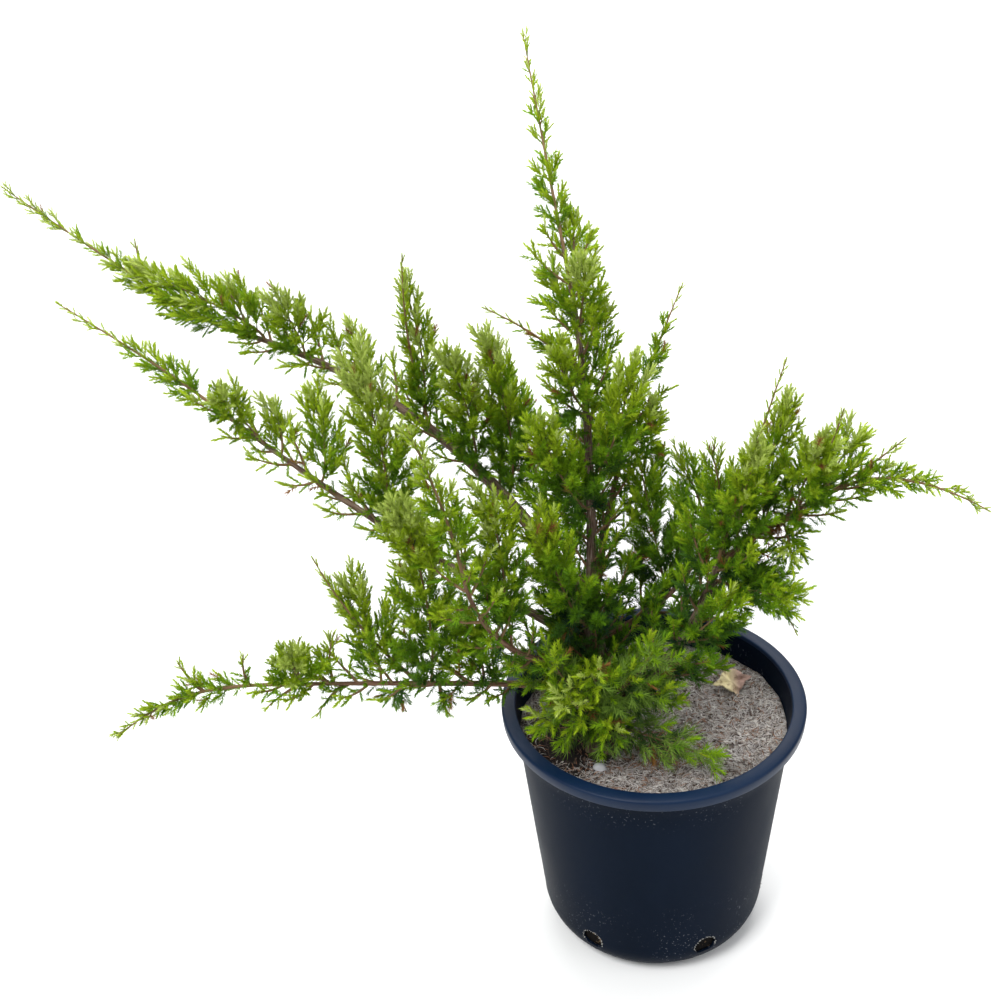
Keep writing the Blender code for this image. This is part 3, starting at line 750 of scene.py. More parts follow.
@dataclass
class PottingMix:
    """The soil with its fibres, bark chips, fallen needles, a pebble and a dry leaf.

    swells gives the height, the turns a metre and the seed of the surface's broad, fine and gritty
    swells. hollow and mound give a height, a place and a spread each way.
    """

    clearance: float = 0.0004
    fibre_count: int = 9600
    chip_count: int = 1500
    fallen_count: int = 520
    heaped_count: int = 420
    heap_spot: Spot = (0.004, -0.038)
    heap_spread: float = 0.013
    pebble_spot: Spot = (-0.0540, -0.0600)
    leaf_spot: Spot = (0.0800, 0.0470)
    hollow_spot: Spot = (-0.078, -0.020)
    hollow_reach: float = 0.046
    trunk_reach: float = 0.021
    fibre_lengths: tuple[float, float] = (0.003, 0.011)
    needle_lengths: tuple[float, float] = (0.005, 0.010)
    needle_radius: float = 0.00038
    pebble_radius: float = 0.0062
    swells: tuple[tuple[float, float, float], ...] = (
        (0.0045, 18, 0.3),
        (0.0022, 75, 1.7),
        (0.0009, 260, 4.1),
    )
    hollow: tuple[float, Spot, Spot] = (0.006, (-0.075, -0.02), (0.03, 0.04))
    mound: tuple[float, Spot, Spot] = (0.003, (0.04, -0.05), (0.05, 0.04))
    steps: int = 150

    @property
    def top_radius(self) -> float:
        """The radius of the soil's surface."""
        return wall_radius(SOIL_TOP) - WALL_THICKNESS - self.clearance

    def height(self, x: float, y: float) -> float:
        """The height of the surface: even round the trunk, low at the left, mounded in front."""
        off = math.hypot(x - TRUNK_FOOT[0], y - TRUNK_FOOT[1])
        free = min(1.0, max(0.0, (off - 0.020) / 0.03))
        broad, fine, grit = (
            lift * noise.noise(Vector((x * rate, y * rate, seed))) for lift, rate, seed in self.swells
        )
        hollow, mound = (lift * bell(x, y, *where) for lift, *where in (self.hollow, self.mound))
        return SOIL_TOP - 0.0004 + free * (broad + mound - hollow) + fine * (0.3 + 0.7 * free) + grit

    def bed(self) -> None:
        """The body of the soil, with its surface raised and sunk."""
        inset = WALL_THICKNESS + self.clearance
        radii = np.linspace(0.0, self.top_radius, 64)
        top = [(float(radius), SOIL_TOP) for radius in radii]
        foot = [(radius, height) for radius, height in foot_curve(inset, 6) if height > 0.004]
        form = spun(top + foot + [(UNDERSIDE_RADIUS - 0.004, 0.0034), (0.0, 0.0034)], self.steps)
        for vertex in form.verts:
            if vertex.co.z > SOIL_TOP - 0.001:
                vertex.co.z = self.height(vertex.co.x, vertex.co.y)
        finish_piece(piece_from(form, "soil_bed"), [MixEarth().material()], ["soil"])

    def scatter(self, rule: np.random.Generator, count: int, dry: bool = False) -> np.ndarray:
        """Spots spread over the surface, clear of the trunk's foot.

        Args:
            rule: the random numbers.
            count: how many.
            dry: whether to keep out of the hollow, which is painted dark as shade.

        Returns:
            The spots, one a row.
        """
        radius = (self.top_radius - 0.003) * np.sqrt(rule.uniform(0, 1, count * 3))
        turn = rule.uniform(0, 2 * math.pi, count * 3)
        spots = np.stack([radius * np.cos(turn), radius * np.sin(turn)], axis=1)
        clear = np.hypot(*(spots - TRUNK_FOOT[:2]).T) > self.trunk_reach
        if dry:
            off = np.hypot(*(spots - self.hollow_spot).T)
            clear &= off > self.hollow_reach * rule.uniform(0.55, 1.2, len(spots))
        spots = spots[clear][:count]
        heights = [self.height(x, y) for x, y in spots]
        return np.column_stack([spots, heights])

    def strands(
        self,
        name: str,
        count: int,
        lengths: tuple[float, float],
        thickness: float,
        bend: float,
        dry: bool = False,
    ) -> np.ndarray:
        """Paths of thin strands lying on the surface, each of four points.

        Args:
            name: what the strands are, which seeds their places.
            count: how many.
            lengths: the shortest and the longest.
            thickness: how thick they are, which sets how high they lie.
            bend: how far a strand may turn, in radians.
            dry: whether they keep out of the hollow, which is painted dark as shade.

        Returns:
            The places, by strand, then by point.
        """
        rule = rule_for(name)
        roots = self.scatter(rule, count, dry)
        length = rule.uniform(*lengths, count)
        turn = rule.uniform(0, 2 * math.pi, count)
        curl = rule.uniform(-bend, bend, count)
        paths = [roots.copy()]
        for step in range(3):
            aim = turn + curl * step / 2
            move = np.stack([np.cos(aim), np.sin(aim), np.zeros(count)], axis=1) * (length / 3)[:, None]
            paths.append(paths[-1] + move)
        strands = np.stack(paths, axis=1)
        away = np.hypot(strands[:, :, 0], strands[:, :, 1])
        limit = self.top_radius - 0.001
        strands[:, :, :2] *= np.where(away > limit, limit / np.maximum(away, 1e-6), 1.0)[..., None]
        lift = rule.uniform(0.3, 2.6, count)
        for strand, extra in zip(strands, lift):
            for i, spot in enumerate(strand):
                arch = extra * (1.0 if 0 < i < 3 else 0.3)
                spot[2] = self.height(spot[0], spot[1]) + thickness * (0.4 + arch)
        return strands

    def lay(self, strands: np.ndarray, radius: float, taper: Sequence[float], coat: PlainCoat) -> None:
        """Makes one piece, named for its coat, of strands with a radius that tapers by their points."""
        radii = np.broadcast_to(radius * np.array(taper), (len(strands), len(taper)))
        piece = tube_piece(coat.name, strands, radii, 3)
        finish_piece(piece, [coat.material()])

    def fibres(self) -> None:
        """Loose coir and root fibres, pale and brown."""
        kinds = (
            ("soil_fibres_pale", 0.48, (0.64, 0.61, 0.58), 0.00022, True),
            ("soil_fibres_tan", 0.34, (0.40, 0.345, 0.305), 0.00024, True),
            ("soil_fibres_brown", 0.18, (0.085, 0.058, 0.048), 0.00026, False),
        )
        for name, share, colour, radius, dry in kinds:
            count = int(self.fibre_count * share)
            strands = self.strands(name, count, self.fibre_lengths, radius * 2, 1.2, dry)
            self.lay(strands, radius, (0.7, 1.0, 0.9, 0.4), PlainCoat(name, colour, 0.9, 0.1))

    def chips(self) -> None:
        """Bark chips and crumbs, each a small faceted lump."""
        kinds = (
            ("soil_chips_dark", (0.030, 0.020, 0.015), False),
            ("soil_chips_brown", (0.12, 0.085, 0.062), False),
            ("soil_chips_pale", (0.46, 0.43, 0.39), True),
        )
        for name, colour, dry in kinds:
            rule = rule_for(name)
            count = self.chip_count // len(kinds)
            form = bmesh.new()
            bmesh.ops.create_icosphere(form, subdivisions=1, radius=1.0)
            for vertex in form.verts:
                vertex.co *= rule.uniform(0.72, 1.15)
            points, faces = as_arrays(form)
            spots = self.scatter(rule, count, dry)
            length, width = rule.uniform(0.0008, 0.0030, count), rule.uniform(0.0006, 0.0016, count)
            size = np.column_stack([length, width, width * rule.uniform(0.35, 0.8, count)])
            turn = rule.uniform(0, 2 * math.pi, count)[:, None]
            tilt = rule.uniform(-0.35, 0.35, count)[:, None]
            x, y, z = np.moveaxis(points[None] * size[:, None], -1, 0)
            cos, sin = np.cos(turn), np.sin(turn)
            turned = np.stack([x * cos - y * sin, x * sin + y * cos, z + x * tilt], axis=-1)
            placed = turned + spots[:, None]
            away = np.hypot(placed[..., 0], placed[..., 1]).max(axis=1)
            kept = placed[away < self.top_radius]
            tris = faces[None] + (np.arange(len(kept)) * len(points))[:, None, None]
            piece = piece_from(joined_mesh(name, kept.reshape(-1, 3), tris.reshape(-1, 3)), name)
            coat = PlainCoat(name, colour, 0.92, 0.12)
            finish_piece(piece, [coat.material()], smooth=False)

    def fallen_needles(self) -> None:
        """Dead needles lying on the soil, some of them heaped in front of the trunk."""
        name = "soil_fallen_needles"
        count = self.fallen_count + self.heaped_count
        strands = self.strands(name, count, self.needle_lengths, 0.0008, 0.25)
        rule = rule_for("soil_heap")
        for strand in strands[self.fallen_count :]:
            x, y = rule.normal(self.heap_spot, self.heap_spread)
            strand += (x, y, self.height(x, y) + abs(rule.normal(0, 0.0012)) + 0.0008) - strand[1]
        coat = PlainCoat(name, (0.26, 0.13, 0.075), 0.75, 0.2)
        self.lay(strands, self.needle_radius, (0.8, 1.0, 0.7, 0.15), coat)

    def pebble(self) -> None:
        """A small pale pebble near the front."""
        x, y = self.pebble_spot
        form = bmesh.new()
        bmesh.ops.create_icosphere(form, subdivisions=3, radius=self.pebble_radius)
        for vertex in form.verts:
            vertex.co *= 1 + 0.30 * noise.noise(vertex.co * 190)
            vertex.co.y *= 0.8
            vertex.co.z *= 0.62
        bmesh.ops.translate(form, verts=form.verts, vec=(x, y, self.height(x, y) + 0.0016))
        coat = PlainCoat("pebble_pale", (0.40, 0.40, 0.41), 0.8, 0.2)
        finish_piece(piece_from(form, "soil_pebble"), [coat.material()])

    def leaf(self) -> None:
        """A dry, creased leaf with four points, lying at the right.

        Each point has its heading in degrees, its length, and how broad it is, in radians.
        """
        x, y = self.leaf_spot
        points = ((8, 0.0200, 0.50), (-78, 0.0185, 0.42), (186, 0.0195, 0.55), (112, 0.0160, 0.50))
        form = bmesh.new()
        bmesh.ops.create_circle(form, cap_ends=True, cap_tris=True, segments=48, radius=1.0)
        for _ in range(2):
            bmesh.ops.subdivide_edges(form, edges=form.edges[:], cuts=1, use_grid_fill=True)
        for vertex in form.verts:
            turn = math.atan2(vertex.co.y, vertex.co.x)
            out = math.hypot(vertex.co.x, vertex.co.y)
            reach, crease = 0.0118, 0.0
            for heading, length, width in points:
                off = abs(math.remainder(turn - math.radians(heading), 2 * math.pi))
                reach = max(reach, length * math.exp(-((off / width) ** 1.1)))
                crease += math.exp(-((off / 0.30) ** 2))
            ripple = 0.0007 * math.sin(7 * turn + 5 * out) + 0.0011 * math.sin(2 * turn + 0.6)
            lift = out * (0.0022 - 0.0034 * crease + ripple) + 0.0016 * out * out
            vertex.co = Vector((out * reach * math.cos(turn), out * reach * math.sin(turn), lift))
        bmesh.ops.solidify(form, geom=form.faces[:], thickness=0.0003)
        bmesh.ops.recalc_face_normals(form, faces=form.faces)
        turn = Matrix.Rotation(math.radians(4), 4, "Z") @ Matrix.Rotation(0.42, 4, "X")
        bmesh.ops.transform(form, matrix=turn, verts=form.verts)
        bmesh.ops.translate(form, verts=form.verts, vec=(x, y, self.height(x, y) + 0.0062))
        finish_piece(piece_from(form, "soil_dry_leaf"), [DriedLeaf().material()])

    def build(self) -> None:
        """Makes the soil and all that lies on it."""
        self.bed()
        self.fibres()
        self.chips()
        self.fallen_needles()
        self.pebble()
        self.leaf()


# The limbs


@dataclass(frozen=True)
class Bough:
    """A limb. Headings are degrees from +X, rises degrees above level; it turns and lifts evenly."""

    parent: str
    place: float
    heading: float
    rise: float
    turn: float
    lift: float
    length: float
    radius: float
    tip_radius: float

    def axis(self, start: np.ndarray, steps: int) -> np.ndarray:
        """The points of its middle line from where it leaves its parent."""
        points = [start]
        for i in range(steps):
            share = (i + 0.5) / steps
            step = way(self.heading + self.turn * share, self.rise + self.lift * share)
            points.append(points[-1] + step * (self.length / steps))
        return np.array(points)

    def radius_at(self, share: float) -> float:
        """Its radius at a share of its length."""
        return self.radius + (self.tip_radius - self.radius) * share**0.8


BOUGHS = {
    "left_upper": Bough("trunk", 0.96, 125, 41, 45, -26, 0.443, 0.0075, 0.0021),
    "left_middle": Bough("trunk", 0.75, 165, 26, -7, 9.5, 0.396, 0.0050, 0.0018),
    "left_lower": Bough("trunk", 0.45, 188, 12, 4, 0, 0.295, 0.0036, 0.0016),
    "front_left": Bough("trunk", 0.60, -153, 21, 29, 59, 0.240, 0.0034, 0.0015),
    "centre": Bough("trunk", 1.00, 80, 76, 25, -21, 0.323, 0.0055, 0.0019),
    "centre_right": Bough("trunk", 0.88, 75, 63, -25, -7, 0.206, 0.0040, 0.0017),
    "right": Bough("trunk", 0.25, -10, 37, 30, 40, 0.195, 0.0055, 0.0036),
    "right_arm": Bough("right", 0.96, 30, 25, -39, 7, 0.129, 0.0036, 0.0017),
    "back_right": Bough("trunk", 0.80, 20, 6, 60, 0, 0.190, 0.0034, 0.0015),
    "back": Bough("trunk", 0.66, 100, 24, 10, 10, 0.220, 0.0036, 0.0015),
}


@dataclass
class Woodwork:
    """The trunk and the boughs under their bark."""

    axis_steps: int = 28
    foot_flare: float = 0.018
    trunk_radius: float = 0.0115
    trunk_tip_radius: float = 0.0085
    flare_reach: float = 0.22
    collar_share: float = 0.35
    collar_reach: float = 0.010
    lobes: int = 5
    lobe_depth: float = 0.004
    lobe_reach: float = 0.16
    ring_spacing: float = 0.0032
    trunk_sides: int = 44
    axes: dict[str, np.ndarray] = field(default_factory=dict)

    def __post_init__(self) -> None:
        """Lays out the middle lines."""
        foot, fork = np.array(TRUNK_FOOT), np.array(FORK)
        self.axes["trunk"] = foot + (fork - foot) * np.linspace(0, 1, self.axis_steps + 1)[:, None]
        for name, bough in BOUGHS.items():
            self.axes[name] = bough.axis(along(self.axes[bough.parent], bough.place), self.axis_steps)

    def radius_on(self, name: str, share: float) -> float:
        """The radius of the trunk or of a bough at a share of its length."""
        if name != "trunk":
            return BOUGHS[name].radius_at(share)
        flare = max(0.0, 1 - share / self.flare_reach)
        taper = self.trunk_radius + (self.trunk_tip_radius - self.trunk_radius) * share
        return taper + (self.foot_flare - self.trunk_radius) * flare * flare

    def ring_frames(self, path: np.ndarray) -> list[Matrix]:
        """Frames along a path whose X axes turn as little as they can."""
        frames = []
        aside = Vector((1, 0, 0))
        for i, spot in enumerate(path):
            ahead = Vector(path[min(i + 1, len(path) - 1)] - path[max(i - 1, 0)]).normalized()
            if abs(ahead.dot(aside)) > 0.95:
                aside = Vector((0, 1, 0))
            aside = (aside - ahead * aside.dot(ahead)).normalized()
            frame = Matrix((aside, ahead.cross(aside), ahead)).transposed().to_4x4()
            frame.translation = Vector(spot)
            frames.append(frame)
        return frames

    def relief(self, name: str, turn: float, run: float, radius: float) -> float:
        """How far the bark stands out at a turn round a limb and a run along it."""
        seed = sum(name.encode()) * 0.37
        around = Vector((math.cos(turn), math.sin(turn), 0))
        strips = noise.noise(around * 2.6 + Vector((seed, 0, run * 26)))
        ridges = noise.noise(around * 5.2 + Vector((0, seed, run * 60)))
        knots = max(0.0, noise.noise(Vector((seed, turn * 0.4, run * 48))) - 0.28)
        return radius * (0.12 * strips + 0.07 * ridges) + 0.0016 * knots

    def radius_round(self, name: str, share: float, run: float, turn: float) -> float:
        """The radius of the bark itself, with its collar or root lobes and its relief.

        Args:
            name: the limb.
            share: the share of its length.
            run: how far along it that is.
            turn: how far round it, in radians.

        Returns:
            The radius.
        """
        if name == "trunk":
            swell = 0.0
            fade = max(0.0, 1 - share / self.lobe_reach) ** 1.5
            lobes = self.lobe_depth * fade * math.cos(self.lobes * turn + 0.7)
        else:
            swell = self.collar_share * self.radius_on(name, 0.0) * math.exp(-run / self.collar_reach)
            lobes = 0.0
        radius = self.radius_on(name, share) + swell
        return radius + (self.relief(name, turn, run, radius) + lobes)

    def skin(self, name: str, sides: int) -> bmesh.types.BMesh:
        """One limb's bark, ring by ring.

        Args:
            name: the limb.
            sides: how many sides its rings have.

        Returns:
            The form.
        """
        axis = self.axes[name]
        length = length_of(axis)
        count = max(10, int(length / self.ring_spacing))
        shares = [i / count for i in range(count + 1)]
        frames = self.ring_frames(np.array([along(axis, share) for share in shares]))
        form = bmesh.new()
        grain = form.verts.layers.float_vector.new("grain")
        bmesh.ops.create_circle(form, segments=sides, radius=1.0, cap_ends=False)
        ring, edges = form.verts[:], form.edges[:]
        turns = {vertex: math.atan2(vertex.co.y, vertex.co.x) for vertex in ring}
        for share, frame in zip(shares, frames):
            if share:
                came_from = {vertex.co.to_tuple(7): turn for vertex, turn in turns.items()}
                grown = bmesh.ops.extrude_edge_only(form, edges=edges)["geom"]
                ring = [item for item in grown if isinstance(item, bmesh.types.BMVert)]
                lines = [item for item in grown if isinstance(item, bmesh.types.BMEdge)]
                edges = [line for line in lines if all(end in ring for end in line.verts)]
                turns = {vertex: came_from[vertex.co.to_tuple(7)] for vertex in ring}
            run = share * length
            for vertex, turn in turns.items():
                radius = self.radius_round(name, share, run, turn)
                vertex.co = frame @ Vector((radius * math.cos(turn), radius * math.sin(turn), 0))
                vertex[grain] = (0.01 * math.cos(turn), 0.01 * math.sin(turn), run)
        bmesh.ops.edgeloop_fill(form, edges=edges)
        bmesh.ops.recalc_face_normals(form, faces=form.faces)
        return form

    def build(self) -> None:
        """Makes the trunk's and every bough's bark: the thick boughs' finer, the thin ones' young."""
        old = BarkSkin().material()
        young = BarkSkin("bark_young", (0.06, 0.028, 0.018), (0.22, 0.115, 0.07), (0.33, 0.23, 0.17))
        young = young.material()
        trunk = piece_from(self.skin("trunk", self.trunk_sides), "trunk_bark")
        finish_piece(trunk, [old], ["trunk"])
        for name, bough in BOUGHS.items():
            sides = 22 if bough.radius > 0.005 else 16
            coat = old if bough.radius > 0.004 else young
            piece = piece_from(self.skin(name, sides), f"bough_{name}_bark")
            finish_piece(piece, [coat], [f"bough_{name}"])


# The foliage


@dataclass(frozen=True)
class Shoot:
    """The stem of a mass: its place on the limb (1 is the tip), its way, length and width.

    run is how far the stem keeps the way that it leaves its limb in, 1 being usual, and tone
    makes its coats lighter or darker.
    """

    place: float
    heading: float
    rise: float
    length: float
    width: float
    run: float = 1.0
    tone: float = 0.0

    @property
    def tip(self) -> bool:
        """Whether the stem goes on from the limb's tip."""
        return self.place == 1.0


SHOOTS = {
    "left_upper": (
        Shoot(1.00, 172, 37, 0.230, 0.062, 0.3),
        Shoot(0.95, 133, 55, 0.051, 0.057),
        Shoot(0.82, -111, 64, 0.066, 0.095),
        Shoot(0.67, 116, 56, 0.052, 0.059),
        Shoot(0.54, 105, 80, 0.128, 0.064),
        Shoot(0.39, -106, 69, 0.145, 0.091),
        Shoot(0.30, 106, 75, 0.145, 0.088),
        Shoot(0.91, 175, 34, 0.122, 0.088),
    ),
    "left_middle": (
        Shoot(1.00, 164, 34, 0.168, 0.050),
        Shoot(0.96, -90, 48, 0.060, 0.070),
        Shoot(0.72, 92, 60, 0.074, 0.080),
        Shoot(0.55, -105, 81, 0.168, 0.102),
        Shoot(0.83, 105, 70, 0.044, 0.058),
    ),
    "left_lower": (
        Shoot(1.00, -146, 8, 0.144, 0.051, 1.8),
        Shoot(0.94, -79, 56, 0.062, 0.080),
        Shoot(0.68, 123, 66, 0.083, 0.106),
        Shoot(0.53, -97, 75, 0.220, 0.117),
        Shoot(0.37, -108, 68, 0.110, 0.086),
    ),
    "front_left": (
        Shoot(1.00, -138, 74, 0.160, 0.070),
        Shoot(0.60, -88, 86, 0.133, 0.084),
    ),
    "centre": (
        Shoot(1.00, 102, 52, 0.196, 0.050),
        Shoot(0.94, 80, 36, 0.050, 0.066),
        Shoot(0.79, -78, 67, 0.070, 0.072),
        Shoot(0.82, 122, 30, 0.042, 0.071),
        Shoot(0.64, 66, 45, 0.060, 0.072),
        Shoot(0.57, -127, 59, 0.079, 0.080),
        Shoot(0.39, -14, 70, 0.098, 0.103),
        Shoot(0.30, -135, 60, 0.112, 0.103),
    ),
    "centre_right": (
        Shoot(1.00, 46, 55, 0.110, 0.044),
        Shoot(0.78, -58, 52, 0.070, 0.074),
    ),
    "right": (
        Shoot(1.00, 118, 82, 0.103, 0.096),
        Shoot(0.90, -39, 8, 0.072, 0.084),
        Shoot(0.60, -52, 50, 0.072, 0.080),
    ),
    "right_arm": (
        Shoot(1.00, -48, 15, 0.145, 0.050),
        Shoot(0.89, 50, 38, 0.052, 0.082),
        Shoot(0.67, -85, 59, 0.106, 0.096),
        Shoot(0.43, 57, 72, 0.107, 0.081),
        Shoot(0.54, -89, -9, 0.042, 0.066),
        Shoot(0.19, -85, 69, 0.136, 0.084),
    ),
    "back_right": (
        Shoot(1.00, 106, 31, 0.090, 0.103),
        Shoot(0.45, 170, 80, 0.145, 0.112),
    ),
    "back": (
        Shoot(1.00, 105, 39, 0.100, 0.114),
        Shoot(0.66, 25, 55, 0.101, 0.110),
    ),
    "trunk": (
        Shoot(0.93, -130, 64, 0.151, 0.103),
        Shoot(0.38, -130, 50, 0.105, 0.090),
        Shoot(0.40, -47, 52, 0.100, 0.090),
        Shoot(0.17, -38, 6, 0.110, 0.070, tone=-0.12),
    ),
}


@dataclass(frozen=True)
class Fringe:
    """The short side shoots on a limb.

    first is the share of the limb where they start, and upper and lower are their lengths above
    and below it.
    """

    first: float
    upper: float
    lower: float
    spacing: float
    tone: float = 0.0


FRINGES = {
    "left_upper": Fringe(0.18, 0.054, 0.026, 0.0095),
    "left_middle": Fringe(0.16, 0.050, 0.021, 0.0090),
    "left_lower": Fringe(0.26, 0.048, 0.024, 0.0095),
    "front_left": Fringe(0.12, 0.050, 0.036, 0.0090),
    "centre": Fringe(0.08, 0.050, 0.050, 0.0085),
    "centre_right": Fringe(0.08, 0.046, 0.046, 0.0090),
    "right": Fringe(0.10, 0.064, 0.060, 0.0075),
    "right_arm": Fringe(0.04, 0.058, 0.036, 0.0080),
    "back_right": Fringe(0.10, 0.064, 0.058, 0.0085),
    "back": Fringe(0.10, 0.062, 0.055, 0.0100),
    "trunk": Fringe(0.16, 0.066, 0.056, 0.0045, -0.06),
}

# Low, trailing twigs round the front of the trunk, which hide its foot.
SKIRT = (
    Shoot(0.30, -118, 42, 0.098, 0.080, tone=0.22),
    Shoot(0.22, -88, 30, 0.068, 0.072, tone=0.04),
    Shoot(0.42, -66, 44, 0.078, 0.076, tone=-0.06),
    Shoot(0.47, -160, 34, 0.092, 0.080, tone=0.20),
    Shoot(0.26, -142, 22, 0.074, 0.076, tone=0.10),
    Shoot(0.36, -40, 30, 0.078, 0.062, tone=-0.10),
    Shoot(0.52, -98, 40, 0.084, 0.076, tone=0.14),
)

# Leafy side shoots too small for masses of their own, by the limb or the mass that carries them.
SIDE_SHOOTS = {
    "foliage_left_upper_1": (Shoot(0.44, 126, 70, 0.042, 0.036, tone=0.04),),
    "foliage_left_lower_1": (
        Shoot(0.10, -108, 85, 0.036, 0.036, tone=0.02),
        Shoot(0.33, 174, 60, 0.036, 0.034, tone=0.04),
    ),
    "left_upper": (Shoot(0.51, 162, 85, 0.174, 0.040, tone=-0.06),),
    "left_lower": (
        Shoot(0.92, 24, 85, 0.048, 0.046, tone=0.04),
        Shoot(0.92, 174, -40, 0.046, 0.034),
        Shoot(0.82, 18, 85, 0.054, 0.050, tone=0.04),
        Shoot(0.79, -174, -50, 0.042, 0.038, tone=-0.04),
        Shoot(0.61, 114, -60, 0.058, 0.042, tone=-0.10),
        Shoot(0.56, 180, 60, 0.162, 0.044),
        Shoot(0.50, -66, -55, 0.030, 0.046, tone=-0.12),
    ),
    "centre": (Shoot(0.66, 180, 40, 0.108, 0.038),),
    "right": (
        Shoot(0.98, 6, 75, 0.200, 0.042),
        Shoot(0.97, 0, -35, 0.074, 0.064, tone=-0.10),
        Shoot(0.98, 6, -50, 0.116, 0.054, tone=-0.12),
    ),
    "right_arm": (
        Shoot(0.91, 0, 40, 0.078, 0.044, tone=0.04),
        Shoot(0.64, 0, 70, 0.106, 0.046, tone=0.04),
    ),
}


@dataclass
class Sprig:
    """A needled branchlet: its root, its way, its length, its plume's number and how light it is."""

    root: np.ndarray
    direction: np.ndarray
    length: float
    plume: int
    light: float


@dataclass
class Plume:
    """One mass while it grows: its stem, its reach, its tone, and whether it tapers or trails."""

    name: str
    number: int
    stem: np.ndarray
    width: float
    tone: float
    tip: bool = False
    trailing: bool = False


@dataclass
class Growth:
    """The seeded rule that every mass grows by, and what it has grown.

    Shares and places run from 0 at a foot to 1 at a tip. A light is how bright a sprig is, from
    about 0 to a little over 1, and a tone is what is added to it. A light is partly painted light
    and shade: lighter high on a stem and pointing up, darker near the crown's heart.
    """

    wood: Woodwork
    stem_steps: int = 12
    tip_lead: float = 0.9
    side_lead: float = 0.45
    landing: float = 0.6
    widest: float = 0.28
    foot_share: float = 0.7
    tip_share: float = 0.30
    leader_share: float = 0.20
    angle_low: float = math.radians(62)
    angle_high: float = math.radians(22)
    twig_spacing: float = 0.0040
    twig_longest: float = 0.075
    twig_least: float = 0.010
    twig_bend: float = 0.32
    twig_from: float = 0.05
    twig_span: float = 0.92
    skipped_share: float = 0.10
    sprig_spacing: float = 0.0023
    sprig_from: float = 0.16
    sprig_span: float = 0.80
    sprig_angle: float = math.radians(33)
    sprig_length: float = 0.0148
    upturn: float = 0.22
    trailing_upturn: float = -0.12
    trailing_length: float = 0.0175
    trailing_share: float = 0.42
    trailing_below: float = 0.5
    share_of_others: float = 0.62
    fringe_last: float = 0.99
    fringe_lift: float = 0.55
    fringe_follow: float = 0.4
    fringe_room: float = 0.011
    fringe_tone: float = -0.04
    light_foot: float = 0.49
    light_rise: float = 0.42
    # The crown's heart, where the foliage is painted darker as shade, and how far out it turns lighter as
    # painted light.
    crown_heart: tuple[float, float, float] = (-0.03, 0.02, 0.33)
    heart_radius: float = 0.06
    heart_fade: float = 0.22
    heart_painted_shade: float = -0.26
    outer_painted_light: float = 0.36
    bark_gap: float = 0.0012
    pot_gap: float = 0.004
    lip_from: float = 0.119
    lip_to: float = 0.147
    plumes: list[Plume] = field(default_factory=list)
    main_stems: np.ndarray = field(default_factory=lambda: np.zeros((0, 2, 3)))
    twigs: list[tuple[np.ndarray, float, float]] = field(default_factory=list)
    sprigs: list[Sprig] = field(default_factory=list)

    def seat(self, limb: str, shoot: Shoot) -> tuple[np.ndarray, np.ndarray]:
        """Where a stem starts, and its way out: square to the bark, or on from the limb's tip."""
        axis = self.wood.axes[limb]
        at, on = along(axis, shoot.place), heading_at(axis, shoot.place)
        if shoot.tip:
            return at - on * 0.001, on
        out = way(shoot.heading, shoot.rise)
        out = unit(out - on * float(out @ on))
        return at + out * (self.wood.radius_on(limb, shoot.place) * 0.6), out

    def stem(self, limb: str, shoot: Shoot) -> np.ndarray:
        """A stem from its seat to its tip, bending on from the way out through the shoot's own way."""
        start, out = self.seat(limb, shoot)
        aim = way(shoot.heading, shoot.rise)
        end = along(self.wood.axes[limb], shoot.place) + aim * shoot.length
        lead = self.tip_lead if shoot.tip else self.side_lead
        leave = out * (shoot.length * lead * shoot.run)
        arrive = unit(aim + (aim - out) * (self.landing * shoot.run)) * shoot.length
        t = np.linspace(0, 1, self.stem_steps + 1)[:, None]
        path = start * (2 * t**3 - 3 * t**2 + 1) + leave * (t**3 - 2 * t**2 + t)
        return path + end * (3 * t**2 - 2 * t**3) + arrive * (t**3 - t**2)

    def reach(self, plume: Plume, share: float) -> float:
        """Half a mass's width at a share of its stem: widest low down, slim at the tip."""
        if share < self.widest:
            part = self.foot_share + 0.3 * share / self.widest
        else:
            past = (share - self.widest) / (1 - self.widest)
            least = self.leader_share if plume.tip else self.tip_share
            part = 1 - (1 - least) * (past**0.55 if plume.tip else past)
        return plume.width / 2 * part

    def bent_twig(self, root: np.ndarray, out: np.ndarray, onward: np.ndarray, length: float) -> np.ndarray:
        """A twig of four points that bends from its way out towards the stem's way."""
        points = [root]
        for step in range(3):
            points.append(points[-1] + unit(out + onward * self.twig_bend * step) * (length / 3))
        return np.array(points)

    def dress_twig(
        self, path: np.ndarray, plume: Plume, light: float, slim: float, rule: np.random.Generator
    ) -> None:
        """Sprigs along a twig by the golden angle, and one at its end.

        Args:
            path: the twig's points.
            plume: the mass that it belongs to.
            light: how light its sprigs are.
            slim: the size of its sprigs, 1 for full ones.
            rule: the random numbers.
        """
        length = length_of(path)
        grown, upturn, longest = 1.0, self.upturn, self.sprig_length
        if plume.trailing:
            grown, upturn, longest = self.trailing_share, self.trailing_upturn, self.trailing_length
        count = max(1, int(length / self.sprig_spacing * grown))
        turn = rule.uniform(0, 2 * math.pi)
        for i in range(count):
            share = self.sprig_from + self.sprig_span * (i + rule.uniform(0.2, 0.8)) / count
            turn += GOLDEN_ANGLE
            angle = self.sprig_angle * rule.uniform(0.8, 1.25)
            direction = aimed(heading_at(path, share), turn, angle)
            direction = unit(direction + np.array([0.0, 0.0, upturn]))
            size = longest * slim * (1.05 - 0.35 * share) * rule.uniform(0.8, 1.15)
            size = min(size, 0.55 * length + 0.006)
            tone = light + 0.24 * (share - 0.5) + rule.normal(0, 0.05)
            self.sprigs.append(Sprig(along(path, share), direction, size, plume.number, tone))
        last = heading_at(path, 0.99)
        size = longest * 0.9 * slim
        self.sprigs.append(Sprig(path[-1] - last * 0.004, last, size, plume.number, light + 0.18))

